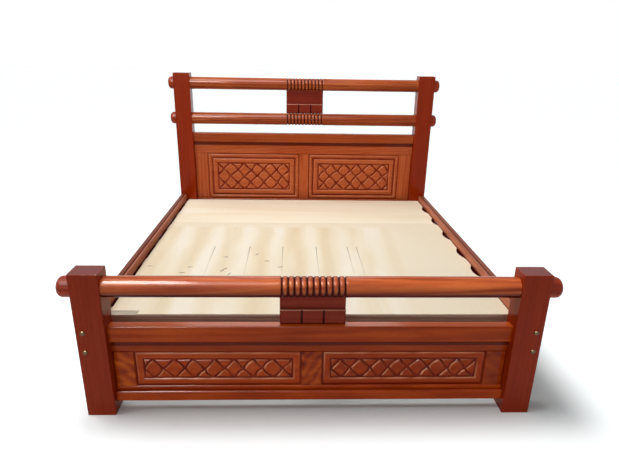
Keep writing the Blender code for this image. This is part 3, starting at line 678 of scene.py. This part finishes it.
for number, (rail, knob) in enumerate(TURNED_RAILS.items()):
    end = rail.split("_")[0]
    centre, radius = round_bar(rail)
    left_half = half_rail_profile(BETWEEN_POSTS[1], radius, number)
    right_half = half_rail_profile(BETWEEN_POSTS[1], radius, number + OTHER_HALF)
    right_half = [(-along, size) for along, size in reversed(right_half)]
    turning = turn_on_lathe(left_half + beads_profile(radius) + right_half, X_AXIS, LATHE_STEPS, centre)
    # Painted shade on the back and the underside, a painted highlight on the upper front, and stain and
    # painted shade in the grooves of the beads.
    stain_and_shade = point_layer(turning, "stain_and_shade")
    painted_highlight = point_layer(turning, "painted_highlight")
    for vert in turning.verts:
        lean = math.atan2(vert.co.z - centre.z, centre.y - vert.co.y)
        upper_front = math.cos(lean - HIGHLIGHT_LEAN)
        dark = clamp((DARK_FROM - upper_front) / DARK_RANGE)
        if vert.co.y > centre.y:
            dark = BACK_DARK + (1 - BACK_DARK) * clamp((centre.z - vert.co.z) / radius) ** BACK_CURVE
        vert[stain_and_shade] = BACK_AND_UNDER_SHADE[end] * dark
        vert[painted_highlight] = UPPER_FRONT_HIGHLIGHT[end] * max((upper_front - HIGHLIGHT_FROM) / (1 - HIGHLIGHT_FROM), 0)
        if abs(vert.co.x) < HALF_BEADS + SHOULDER:
            from_axis = math.hypot(vert.co.y - centre.y, vert.co.z - centre.z)
            vert[stain_and_shade] += clamp(GROOVE_DARKENING * (radius - from_axis) / BEAD_HEIGHT - GROOVE_FREE)
    add_wood(rail, "turning", turning, X_AXIS, turning_wood[end], "rail_wood", TURNING_DRIFT)
    for side in SIDES:
        node = f"{knob}_{side}"
        low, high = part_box(node)
        inner, outer = (high.x, low.x) if side == "left" else (low.x, high.x)
        end_knob = turn_on_lathe(knob_profile(inner, outer, radius), X_AXIS, LATHE_STEPS, centre)
        add_wood(node, "turning", end_knob, X_AXIS, turning_wood["knob"], "rail_wood", TURNING_DRIFT)

# Spacer blocks: one under the foot rail, one between the head rails. Each is a block in two tiers,
# hollowed to the turned rails, with the lower tier proud and parted into three tiles by V-cuts.
BLOCKS = {  # height of the lower tier, then the rails below and above
    "foot_spacer_block": (0.068, None, "foot_turned_rail"),
    "head_spacer_block": (0.073, "head_turned_rail_lower", "head_turned_rail_upper"),
}
TIER_STEP = 0.013
TILE_COUNT = 3
TILE_FLANKS = ((0.0012, 0), (0.0012, 0.0024), (0.0014, 0.0014), (0.0014, 0.0006))
TILE_RISE = sum(rise for _, rise in TILE_FLANKS)
HIGHLIGHT_HEIGHT = 0.006  # upper edge of the tiles, which gets a painted highlight
CUT_INSET = 0.01  # the cuts with stain and painted shade lie farther than this from the block's sides
CUP_STEPS = 6
BLOCK_ARRIS = 0.0012
CORNER_ANGLE = 1.0  # edges sharper than this are corners
BLOCK_SHADES = (0.3, (0.175, 0.013, 0.0035), (0.23, 0.02, 0.0055), (0.285, 0.029, 0.0075))
# Colour of the stain and painted shade in the V-cuts.
BLOCK_CUT_SHADE = (0.05, 0.004, 0.0015)
# Colour of the painted highlight along the upper edge of the tiles.
BLOCK_HIGHLIGHT_COLOUR = (0.56, 0.2, 0.12)
look = (BLOCK_SHADES, CARVED_FIGURE, BLOCK_CUT_SHADE, BLOCK_HIGHLIGHT_COLOUR)
block_wood = varnished_wood("spacer_block_wood", *look)


def cup_line(rail, front, back, level, upward):
    """Points of a block's end from front to back, hollowed where the turned rail lies in it."""
    if rail is None:
        return [(front, level), (back, level)]
    centre, radius = round_bar(rail)
    radius += JOINT_LINE
    points = []
    for step in range(CUP_STEPS + 1):
        place = front + (back - front) * step / CUP_STEPS
        rim = centre.z - upward * math.sqrt(radius**2 - (place - centre.y) ** 2)
        points.append((place, min(level, rim) if upward > 0 else max(level, rim)))
    return points


def push_faces(mesh, faces, way):
    """Move a copy of the faces, and close the sides between the two."""
    grown = bmesh.ops.extrude_face_region(mesh, geom=faces)["geom"]
    bmesh.ops.translate(mesh, vec=way, verts=only_verts(grown))


def corner_edges(mesh):
    return [edge for edge in mesh.edges if edge.calc_face_angle() > CORNER_ANGLE]


for block, (tier, lower_rail, upper_rail) in BLOCKS.items():
    low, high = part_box(block)
    tile_level = low.y + TILE_RISE
    upper_front = low.y + TIER_STEP
    step_height = low.z + tier
    outline = cup_line(lower_rail, tile_level, high.y, low.z, -1)
    outline += reversed(cup_line(upper_rail, upper_front, high.y, high.z, 1))
    outline += [(upper_front, step_height), (tile_level, step_height)]
    mesh = bmesh.new()
    end_face = mesh.faces.new([mesh.verts.new((low.x, y, z)) for y, z in outline])
    push_faces(mesh, [end_face], (high.x - low.x, 0, 0))
    bmesh.ops.recalc_face_normals(mesh, faces=mesh.faces)
    tiles = [min(mesh.faces, key=lambda face: face.calc_center_median().y + face.normal.y)]
    for tile in range(1, TILE_COUNT):
        split_faces(mesh, tiles, low + (high - low) * tile / TILE_COUNT, Vector((1, 0, 0)))
    for width, rise in TILE_FLANKS:
        bmesh.ops.inset_individual(mesh, faces=tiles, thickness=width, depth=rise, use_even_offset=True)
    behind = [edge for edge in corner_edges(mesh) if min(vert.co.y for vert in edge.verts) > tile_level]
    round_arrises(mesh, behind, BLOCK_ARRIS, segments=2)
    under_edge = step_height - HIGHLIGHT_HEIGHT
    cut_across(mesh, Z_AXIS, even_steps(under_edge, step_height, HIGHLIGHT_HEIGHT))
    # Stain and painted shade on the flanks of the tiles below their upper edge, and a painted highlight
    # along that edge.
    stain_and_shade = point_layer(mesh, "stain_and_shade")
    painted_highlight = point_layer(mesh, "painted_highlight")
    for vert in mesh.verts:
        inside = low.x + CUT_INSET < vert.co.x < high.x - CUT_INSET
        on_edge = vert.co.z > under_edge + HAIR
        if low.y + HAIR < vert.co.y < tile_level + HAIR:
            vert[stain_and_shade] = float(inside and not on_edge)
            vert[painted_highlight] = float(on_edge and vert.co.y < tile_level - HAIR)
    add_wood(block, "carving", mesh, X_AXIS, block_wood, "panel_wood")

# Side rails: long planks that carry the deck, bolted between the posts. A rounded groove runs along the
# top of each, and a slot in the inner face at each end takes the steel plate that the bolts screw into.
SIDE_RAIL_ARRIS = 0.004
SIDE_DRIFT = 0.02
GROOVE_FROM_OUTSIDE = 0.029
GROOVE_SHAPE = ((-0.0042, 0), (-0.0018, -0.0034), (0, -0.0042), (0.0018, -0.0034), (0.0042, 0))
GROOVE_HALF = 0.003  # half the width of the stain and painted shade in it
GROOVE_REACH = 0.01  # that darkening lies no farther below the top
DECK_LINE = 0.003  # the inner face goes over to painted shade within this below the deck
SIDE_TOP_SHADE = {"left": (0.2, 0.7), "right": (0.35, 0.5)}  # painted shade on the top inside and outside the groove; the outside one also on the outer face
FACING = 0.9  # a normal this far along an axis faces that way
deck_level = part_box("deck_sheet_foot")[1].z
for side, sign in (("left", -1), ("right", 1)):
    node = f"side_rail_{side}"
    low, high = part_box(node)
    plank = squared_timber(low, high, SIDE_RAIL_ARRIS, Y_AXIS)
    inner, outer = (low.x, high.x) if sign > 0 else (high.x, low.x)
    groove_middle = outer - sign * GROOVE_FROM_OUTSIDE
    cut_across(plank, X_AXIS, [groove_middle + across for across, _ in GROOVE_SHAPE])
    for vert in plank.verts:
        for across, drop in GROOVE_SHAPE:
            at_top = vert.co.z > high.z - 1.5 * SIDE_RAIL_ARRIS
            if at_top and abs(vert.co.x - groove_middle - across) < HAIR:
                vert.co.z += drop
    cut_across(plank, Z_AXIS, (deck_level - DECK_LINE, deck_level))
    for end in ENDS:
        plate_low, plate_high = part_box(f"nut_plate_{end}_{side}")
        slot_low = plate_low - Vector((1, 1, 1)) * JOINT_LINE
        slot_high = plate_high + Vector((1, 1, 1)) * JOINT_LINE
        cut_across(plank, Y_AXIS, (slot_low.y, slot_high.y))
        cut_across(plank, Z_AXIS, (slot_low.z, slot_high.z))
        plank.normal_update()
        mouth = []
        for face in plank.faces:
            middle = face.calc_center_median()
            in_slot = slot_low.y < middle.y < slot_high.y and slot_low.z < middle.z < slot_high.z
            if in_slot and face.normal.x * sign < -FACING:
                mouth.append(face)
        slot_depth = abs((slot_high.x if sign > 0 else slot_low.x) - inner)
        inset_ring(plank, mouth, 0.0, -slot_depth)
    inside_shade, outside_shade = SIDE_TOP_SHADE[side]
    # Stain and painted shade in the groove, painted shade on the inner face below the deck, and painted
    # shade on the top and the outer face, which leaves the inner face lighter as painted light.
    stain_and_shade = point_layer(plank, "stain_and_shade")
    for vert in plank.verts:
        in_groove = abs(vert.co.x - groove_middle) < GROOVE_HALF and vert.co.z > high.z - GROOVE_REACH
        under_deck = vert.co.z < deck_level - NEAR and abs(vert.co.x - inner) < NEAR
        from_outside = abs(vert.co.x - outer)
        if in_groove or under_deck:
            vert[stain_and_shade] = 1.0
        elif from_outside < 2 * NEAR:
            vert[stain_and_shade] = outside_shade
        elif vert.co.z > high.z - NEAR:
            outside = from_outside < GROOVE_FROM_OUTSIDE - GROOVE_HALF
            vert[stain_and_shade] = outside_shade if outside else inside_shade
    add_wood(node, "plank", plank, Y_AXIS, board_wood["side"], "rail_wood", SIDE_DRIFT)

# Timber under the deck: a hardwood ledger nailed along each side rail, seven slats across them, and a
# centre bearer on two blocks. Slats, bearer and blocks are pale softwood, left as the saw left it.
SAWN_ARRIS = 0.0015
SLAT_COUNT = 7
SOFTWOOD_SHADES = (0.2, (0.36, 0.235, 0.14), (0.52, 0.37, 0.24), (0.62, 0.47, 0.32))
SAWN_BLUR = (0.65, 0.85)
RING_SHARE = 0.3
softwood, tree, shader = new_material("sawn_softwood")
grain = point_value(tree, "grain", "Vector")
fibres = add_noise(grain, (1.5, 60, 60), 4, 0.5)
figured = add_mix(RING_SHARE, fibres, growth_rings(grain, 0.05, 40, 3, 2))
colour = add_ramp(figured, three_shades(*SOFTWOOD_SHADES))
saw_marks = add_bump(add_noise(grain, (260, 5, 5), 2), 0.4, 0.0006)
set_inputs(shader, {"Base Color": colour, "Roughness": remap(fibres, SAWN_BLUR), "Normal": saw_marks})
SAWN_TIMBERS = {f"slat_{number}": X_AXIS for number in range(1, SLAT_COUNT + 1)}
SAWN_TIMBERS.update({"centre_bearer": Y_AXIS, "bearer_block_foot": X_AXIS, "bearer_block_head": X_AXIS})
SAWN_TIMBERS.update({"ledger_left": Y_AXIS, "ledger_right": Y_AXIS})
for node, along in SAWN_TIMBERS.items():
    timber = squared_timber(*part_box(node), SAWN_ARRIS, along)
    # The ledgers take the darker tone of the foot's top rail, so the gaps beside the deck show dark.
    if node.startswith("ledger"):
        add_wood(node, "timber", timber, along, board_wood["foot_top_rail"], "rail_wood")
    else:
        add_wood(node, "timber", timber, along, softwood, "slat_wood")

# Deck: two sheets of plywood laid on the slats, with a seam across the bed. They are cut by hand, so the
# right edge wanders and leaves gaps at the rail. The face has open joints in its veneer, and a corner at
# the foot is chipped.
SHEET_STEP = 0.02
SHEET_ARRIS = 0.0008
RIGHT_EDGE = 0.015  # how far the right edge stands out past the frame's plain sheet
LEFT_EDGE = 0.005
EDGE_WANDER = 0.0015
RIGHT_WAVES, LEFT_WAVES = 25, 12  # of that, a metre
GAP_MIDDLES = (0.722, 0.447, 0.167, -0.138, -0.398)
GAP_HALF_LENGTH = 0.078
GAP_DEPTH = 0.022
GAP_CURVE = 0.7
CHIP_SIZE = (0.131, 0.034, 0.003)  # the corner that has lost its face veneer
VENEER_JOINTS = (-0.549, -0.34, -0.143, 0.056, 0.244, 0.3)
JOINT_SPAN = (-0.44, -0.045)  # from where a joint is shut to where it is widest
JOINT_HALF_WIDTH = 0.003
JOINT_DEPTH = 0.003
JOINT_DIRT = 0.25  # where it is shut
DIRT_SHADE = (0.1, 0.06, 0.035)
VENEER_PLACES = (0.3, 0.5, 0.66)  # of the dark, the middle and the light shade in the figure
PLY_SHADES = {
    "deck_sheet_foot": ((0.77, 0.625, 0.41), (0.845, 0.73, 0.54), (0.895, 0.815, 0.67)),
    "deck_sheet_head": ((0.88, 0.745, 0.52), (0.93, 0.82, 0.62), (0.95, 0.865, 0.7)),
}
CORE_SHADES = ((0.4, 0.34, 0.25), (0.48, 0.42, 0.32), (0.54, 0.48, 0.38))
PLY_BANDS = {"deck_sheet_foot": (5.0, 0.6, 1), "deck_sheet_head": (0.7, 4.0, 1)}  # a metre
CORE_BANDS = (0.7, 6.0, 1)
FIBRES_A_BAND = 20
STRIP_BANDS = 1.571  # waves of the strips that the face veneer is pieced together from, five a metre
STRIP_PHASE = 2.4
STRIP_SHARE, FIBRE_SHARE = 0.25, 0.12
PLAIN_RIGHT = (0.36, 0.62)  # where the strips end towards the right, in one wide sheet of veneer
PLAIN_SEAM = (0.28, 0.34)
PLAIN_TONES = (0.46, 0.58)
VENEER_BLUR = (0.55, 0.75)
VENEER_SHINE = 0.25
FACE, EDGE, CORE = range(3)  # places in a sheet's list of materials
STEEP = 0.5  # a face whose normal rises less than this is an edge
PLY_LAYERS = ((0.25, (0.64, 0.48, 0.36)), (0.6, (0.88, 0.73, 0.58)))  # every other one is end grain
LAYER_BANDS = 95
EDGE_BLUR = (0.7, 0.9)


def own_place(tree):
    return add_node(tree, "TexCoord").outputs["Object"]


def add_math(operation, *values, kind="Math"):
    """What a sum of numbers gives, or of places with kind VectorMath."""
    return add_node(values[0].id_data, kind, dict(enumerate(values)), operation=operation).outputs[0]


def fade_over(place, span, to=(0, 1)):
    return remap(place, to, span, "SMOOTHSTEP")


def veneer(name, shades, stretch, pieced):
    """Pale veneer with soft bands, fine fibres, and dirt in its joints. A pieced one is in strips."""
    material, tree, shader = new_material(name)
    place = own_place(tree)
    bands = add_noise(place, stretch, 3, 0.9)
    fibres = add_noise(place, tuple(FIBRES_A_BAND * scale for scale in stretch), 4)
    if pieced:
        strip_inputs = {"Vector": place, "Scale": STRIP_BANDS, "Phase Offset": STRIP_PHASE}
        strip_inputs.update({"Distortion": 2.5, "Detail": 2})
        strips = add_node(tree, "TexWave", strip_inputs, bands_direction="X").outputs["Fac"]
        even = remap(bands, PLAIN_TONES)
        spot = add_node(tree, "SeparateXYZ", {"Vector": place}).outputs
        to_right, to_seam = fade_over(spot["X"], PLAIN_RIGHT), fade_over(spot["Y"], PLAIN_SEAM)
        plain = add_math("MAXIMUM", to_right, to_seam)
        bands = add_mix(plain, add_mix(STRIP_SHARE, bands, strips), even)
    figured = add_mix(FIBRE_SHARE, bands, fibres)
    colour = add_ramp(figured, tuple(zip(VENEER_PLACES, shades)))
    colour = tint(point_value(tree, "stain_and_shade"), colour, DIRT_SHADE)
    relief = add_bump(fibres, 0.15, 0.0004)
    set_inputs(shader, {"Base Color": colour, "Specular IOR Level": VENEER_SHINE})
    set_inputs(shader, {"Roughness": remap(fibres, VENEER_BLUR), "Normal": relief})
    return material


def right_edge_shift(place):
    """How far the sheet's right edge lies from the plain sheet at this place along the bed."""
    shift = RIGHT_EDGE + EDGE_WANDER * noise.noise(Vector((0, place * RIGHT_WAVES, 0)))
    for middle in GAP_MIDDLES:
        away = abs(place - middle) / GAP_HALF_LENGTH
        if away < 1:
            shift -= GAP_DEPTH * math.cos(away * math.pi / 2) ** GAP_CURVE
    return shift


def chip_corner(mesh, corner, top):
    """Take the face veneer off the sheet's front left corner."""
    far_x, far_y, under = corner.x + CHIP_SIZE[0], corner.y + CHIP_SIZE[1], top - CHIP_SIZE[2]
    for axis, place in enumerate((far_x, far_y, under)):
        cut_across(mesh, axis, [place])
    lost = [face for face in mesh.faces if in_chip(face, far_x, far_y, under)]
    outer = [face for face in lost if face.calc_center_median().z > top - HAIR]
    push_faces(mesh, outer, (0, 0, -CHIP_SIZE[2]))
    for face in mesh.faces:
        middle = face.calc_center_median()
        on_side = min(abs(middle.x - corner.x), abs(middle.y - corner.y)) < HAIR
        if on_side and in_chip(face, far_x, far_y, under):
            outer.append(face)
    bmesh.ops.delete(mesh, geom=outer, context="FACES")
    bmesh.ops.remove_doubles(mesh, verts=mesh.verts, dist=WELD)


def in_chip(face, far_x, far_y, under):
    middle = face.calc_center_median()
    return middle.x < far_x and middle.y < far_y and middle.z > under + HAIR


def open_joint(mesh, joint, top, stain_and_shade):
    """Part the face veneer along a joint, wider towards the head, with dirt in it."""
    cut_across(mesh, X_AXIS, (joint - JOINT_HALF_WIDTH, joint, joint + JOINT_HALF_WIDTH))
    shut, widest = JOINT_SPAN
    for vert in mesh.verts:
        on_joint = abs(vert.co.x - joint) < HAIR and vert.co.z > top - HAIR
        if on_joint and shut < vert.co.y < widest:
            opened = (vert.co.y - shut) / (widest - shut)
            vert.co.z -= JOINT_DEPTH * opened
            vert[stain_and_shade] = JOINT_DIRT + (1 - JOINT_DIRT) * opened**2


ply_edge, tree, shader = new_material("plywood_sawn_edge")
place = own_place(tree)
layer_inputs = {"Vector": place, "Scale": LAYER_BANDS, "Distortion": 0.6}
layers = add_node(tree, "TexWave", layer_inputs, bands_direction="Z").outputs["Fac"]
torn = add_noise(place, (300, 300, 900), 3)
colour, relief = add_ramp(layers, PLY_LAYERS), add_bump(torn, 0.5, 0.0008)
set_inputs(shader, {"Base Color": colour, "Roughness": remap(torn, EDGE_BLUR), "Normal": relief})
core_veneer = veneer("plywood_core_veneer", CORE_SHADES, CORE_BANDS, False)
for node, stretch in PLY_BANDS.items():
    at_foot = node == "deck_sheet_foot"
    low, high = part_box(node)
    mesh = box_mesh(low, high)
    cut_across(mesh, Y_AXIS, even_steps(low.y + SHEET_STEP, high.y - SHEET_STEP / 2, SHEET_STEP))
    if at_foot:
        chip_corner(mesh, low, high.z)
    for vert in mesh.verts:
        if vert.co.x > high.x - HAIR:
            vert.co.x += right_edge_shift(vert.co.y)
        else:
            vert.co.x += EDGE_WANDER * noise.noise(vert.co * LEFT_WAVES) - LEFT_EDGE
    round_arrises(mesh, corner_edges(mesh), SHEET_ARRIS, segments=2)
    stain_and_shade = point_layer(mesh, "stain_and_shade")
    if at_foot:
        for joint in VENEER_JOINTS:
            open_joint(mesh, joint, high.z, stain_and_shade)
    mesh.normal_update()
    for face in mesh.faces:
        in_core = high.z - 1.5 * CHIP_SIZE[2] < face.calc_center_median().z < high.z - 0.5 * CHIP_SIZE[2]
        if abs(face.normal.z) < STEEP:
            face.material_index = EDGE
        else:
            face.material_index = CORE if in_core else FACE
    face_veneer = veneer(f"{node}_veneer", PLY_SHADES[node], stretch, at_foot)
    add_piece(f"{node}_ply", mesh, [face_veneer, ply_edge, core_veneer], "plywood", node)

# Nails of the deck: a row of bright steel heads along the seam, and rusty ones nearer the foot that were
# bent over and hammered flat.
NAIL_ROW = 0.34
NAIL_PLACES = (-0.792, -0.558, -0.473, -0.385, -0.365, -0.224, -0.208, -0.172, -0.15, 0.005, 0.04, 0.201)
NAIL_RADIUS = 0.006
NAIL_RISE = 0.0012
BENT_NAILS = (  # place across and along the bed, and turn in degrees
    (-0.291, -0.169, 50),
    (-0.464, -0.21, 10),
    (-0.228, -0.266, -5),
    (-0.153, -0.349, 15),
    (-0.64, -0.353, 10),
    (-0.668, -0.426, 0),
    (-0.462, -0.4, 50),
    (-0.448, -0.375, 50),
    (-0.419, -0.442, 60),
    (-0.857, -0.341, 0),
)
BENT_LENGTH = 0.034
BENT_WIDTH = 0.003
BENT_FLATNESS = 0.6
BRIGHT_SHADES = ((0.5, (0.98, 0.975, 0.96)), (0.8, (0.8, 0.76, 0.7)))
RUSTY_SHADES = ((0.4, (0.15, 0.11, 0.08)), (0.62, (0.08, 0.05, 0.032)))
STEEL_BLUR = (0.35, 0.7)


def scratched_steel(name, shades, metallic):
    """Steel in spots of two shades, from bare to rusted, with fine scratches."""
    material, tree, shader = new_material(name)
    place = own_place(tree)
    spots = add_noise(place, (90, 90, 90), 4)
    relief = add_bump(add_noise(place, (40, 40, 1200), 2), 0.2, 0.0003)
    set_inputs(shader, {"Base Color": add_ramp(spots, shades), "Metallic": metallic})
    set_inputs(shader, {"Roughness": remap(spots, STEEL_BLUR), "Normal": relief})
    return material


bright_steel = scratched_steel("bright_nail_steel", BRIGHT_SHADES, 0.0)
rusty_steel = scratched_steel("rusty_nail_steel", RUSTY_SHADES, 0.3)
mesh = bmesh.new()
for place in NAIL_PLACES:
    spot = Matrix.Translation((place, NAIL_ROW, deck_level))
    spot @= Matrix.Diagonal((1, 1, NAIL_RISE / NAIL_RADIUS, 1))
    bmesh.ops.create_uvsphere(mesh, u_segments=10, v_segments=6, radius=NAIL_RADIUS, matrix=spot)
add_piece("deck_nail_heads", mesh, [bright_steel], "plate_steel")
mesh = bmesh.new()
for x, y, turn in BENT_NAILS:
    spot = Matrix.Translation((x, y, deck_level)) @ Matrix.Rotation(math.radians(turn), 4, "Z")
    spot @= Matrix.Diagonal((BENT_LENGTH / BENT_WIDTH / 2, 1, BENT_FLATNESS, 1))
    bmesh.ops.create_uvsphere(mesh, u_segments=8, v_segments=6, radius=BENT_WIDTH, matrix=spot)
add_piece("deck_bent_nails", mesh, [rusty_steel], "plate_steel")

# Bed bolts: brass-plated dome heads on the end faces of the posts, with shanks through the posts into
# steel plates that are let into the side rails. The plating has gone brown with age.
BOLT_ARC = 8
BOLT_STEPS = 32
SHANK_RADIUS = 0.005
HEAD_RIM = 0.0012
BRASS_SHADES = ((0.38, (0.165, 0.11, 0.06)), (0.6, (0.08, 0.048, 0.024)))
BRASS_BLUR = (0.2, 0.45)
STEEL_SHADES = ((0.4, (0.26, 0.255, 0.25)), (0.62, (0.15, 0.11, 0.085)))


def bolt_profile(crown, seat, tip, radius):
    """Profile from the crown of the domed head over its rim to the tip of the shank."""
    rim = seat + math.copysign(HEAD_RIM, crown - seat)
    points = [(crown, 0)]
    for angle in quarter_turn(BOLT_ARC)[1:]:
        points.append((rim + (crown - rim) * math.cos(angle), radius * math.sin(angle)))
    return points + [(seat, radius), (seat, SHANK_RADIUS), (tip, SHANK_RADIUS), (tip, 0)]


brass, tree, shader = new_material("tarnished_brass")
tarnish = add_noise(own_place(tree), (210, 210, 210), 4)
set_inputs(shader, {"Base Color": add_ramp(tarnish, BRASS_SHADES), "Metallic": 1.0})
set_inputs(shader, {"Roughness": remap(tarnish, BRASS_BLUR), "Normal": add_bump(tarnish, 0.15, 0.0004)})
steel = scratched_steel("dull_steel", STEEL_SHADES, 1.0)
for end, facing in (("foot", -1), ("head", 1)):
    post_low, post_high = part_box(f"{end}_post_left")
    seat = post_low.y if facing < 0 else post_high.y
    for side in SIDES:
        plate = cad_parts[f"nut_plate_{end}_{side}"]
        plate.data.materials.clear()
        plate.data.materials.append(steel)
        for level in ("upper", "lower"):
            node = f"bolt_{end}_{side}_{level}"
            low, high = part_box(node)
            crown, tip = (low.y, high.y) if facing < 0 else (high.y, low.y)
            centre, radius = round_bar(node)
            bolt = turn_on_lathe(bolt_profile(crown, seat, tip, radius), Y_AXIS, BOLT_STEPS, centre)
            add_piece(f"{node}_turning", bolt, [brass], "brass", node)

# Studio: a pale floor that goes white to the eye but keeps the shadow, and a white surround. A broad lamp
# from the upper left, a weaker one from the front and a softbox over the bed light it. Two more lamps and
# a reflector card show only in the varnish.
FLOOR_HALF = 40.0
FLOOR_SHADES = ((0.3, (0.815, 0.87, 0.875)), (0.7, (0.835, 0.89, 0.895)))
FLOOR_LIFT = (0.03, 0.52)  # what the floor adds of its own to the eye, under the bed and away from it
# The floor's glow is held back in a box round the bed, set off to the right, which deepens the real shadow
# there with painted shade.
LIFT_REACH = (0.0, 0.26)  # metres from the shaded floor
SHADED_MIDDLE = (0.14, 0, 0)
SHADED_HALF = (0.96, 1.02, 0)
SURROUND_LIGHT = 0.11
SUNS = {  # strength, spread in degrees, where it shines from, and whether it shows only in the varnish
    "broad_lamp": (1.55, 44, (-0.56, 0.08, 0.82), False),
    "front_fill": (0.62, 44, (-0.22, -0.91, 0.33), False),
    "varnish_glint": (4.0, 40, (-0.3, -0.5, 0.82), True),
    "varnish_rim": (0.5, 24, (0, 0.87, 0.48), True),
}
SOFTBOX_PLACE = (-0.3, 0.05, 2.75)
SOFTBOX_SIZE = 1.8
SOFTBOX_POWER = 30
CARD_PLACE = (-1.45, -2.1, 3.0)
CARD_SIZE = (0.8, 1.5)
CARD_POWER = 200
scene = bpy.context.scene


def seen_directly(tree):
    """1 for what the camera sees, straight or in a polished surface, and 0 for light on the object."""
    rays = add_node(tree, "LightPath").outputs
    shiny = add_math("MAXIMUM", rays["Is Glossy Ray"], rays["Is Transmission Ray"])
    return add_math("MAXIMUM", rays["Is Camera Ray"], shiny)


def add_lamp(name, kind, strength, in_varnish_only=False):
    lamp = bpy.data.objects.new(name, bpy.data.lights.new(name, kind))
    lamp.data.energy = strength
    lamp.visible_diffuse = not in_varnish_only
    scene.collection.objects.link(lamp)
    return lamp


mesh = bmesh.new()
bmesh.ops.create_grid(mesh, x_segments=1, y_segments=1, size=FLOOR_HALF)
floor_paint, tree, shader = new_material("pale_floor")
floor = add_object("studio_floor", mesh, [floor_paint])
place = own_place(tree)
off_middle = add_math("SUBTRACT", place, SHADED_MIDDLE, kind="VectorMath")
either_side = add_math("ABSOLUTE", off_middle, kind="VectorMath")
outside = add_math("SUBTRACT", either_side, SHADED_HALF, kind="VectorMath")
beyond = add_math("MAXIMUM", outside, (0, 0, 0), kind="VectorMath")
away = add_node(tree, "VectorMath", {0: beyond}, operation="LENGTH").outputs["Value"]
lift = add_math("MULTIPLY", seen_directly(tree), fade_over(away, LIFT_REACH, FLOOR_LIFT))
pale = add_ramp(add_noise(place, (0.6, 0.6, 0.6), 3), FLOOR_SHADES)
set_inputs(shader, {"Base Color": pale, "Roughness": 1.0, "Specular IOR Level": 0.0})
set_inputs(shader, {"Emission Color": (1, 1, 1, 1), "Emission Strength": lift})

world = bpy.data.worlds.new("white_surround")
scene.world = world
world.use_nodes = True
tree = world.node_tree
glow = remap(seen_directly(tree), (SURROUND_LIGHT, 1.0))
set_inputs(tree.nodes["Background"], {"Color": (1, 1, 1, 1), "Strength": glow})

for name, (strength, spread_angle, shines_from, in_varnish_only) in SUNS.items():
    sun = add_lamp(name, "SUN", strength, in_varnish_only)
    sun.data.angle = math.radians(spread_angle)
    sun.rotation_euler = Vector(shines_from).to_track_quat("Z", "Y").to_euler()
softbox = add_lamp("softbox", "AREA", SOFTBOX_POWER)
softbox.data.size = SOFTBOX_SIZE
softbox.location = SOFTBOX_PLACE
softbox.visible_camera = False
card = add_lamp("reflector_card", "AREA", CARD_POWER, in_varnish_only=True)
card.data.shape = "RECTANGLE"
card.data.size, card.data.size_y = CARD_SIZE
card.location = CARD_PLACE
card.visible_camera = False

# Camera: at the height of a standing person's eyes in front of the foot, a little left of the middle. It
# looks down along the bed.
CAMERA_PLACE = (-0.0859, -2.8636, 1.4899)
CAMERA_PITCH, CAMERA_YAW, CAMERA_ROLL = (math.radians(angle) for angle in (19.819, 2.056, -1.016))
CAMERA_LENS = 29.18
camera = bpy.data.objects.new("camera", bpy.data.cameras.new("camera"))
camera.data.lens = CAMERA_LENS
aim = Matrix.Rotation(-CAMERA_YAW, 4, "Z") @ Matrix.Rotation(math.pi / 2 - CAMERA_PITCH, 4, "X")
camera.matrix_world = Matrix.Translation(CAMERA_PLACE) @ aim @ Matrix.Rotation(-CAMERA_ROLL, 4, "Z")
scene.collection.objects.link(camera)
scene.camera = camera
scene.view_settings.view_transform = "Standard"
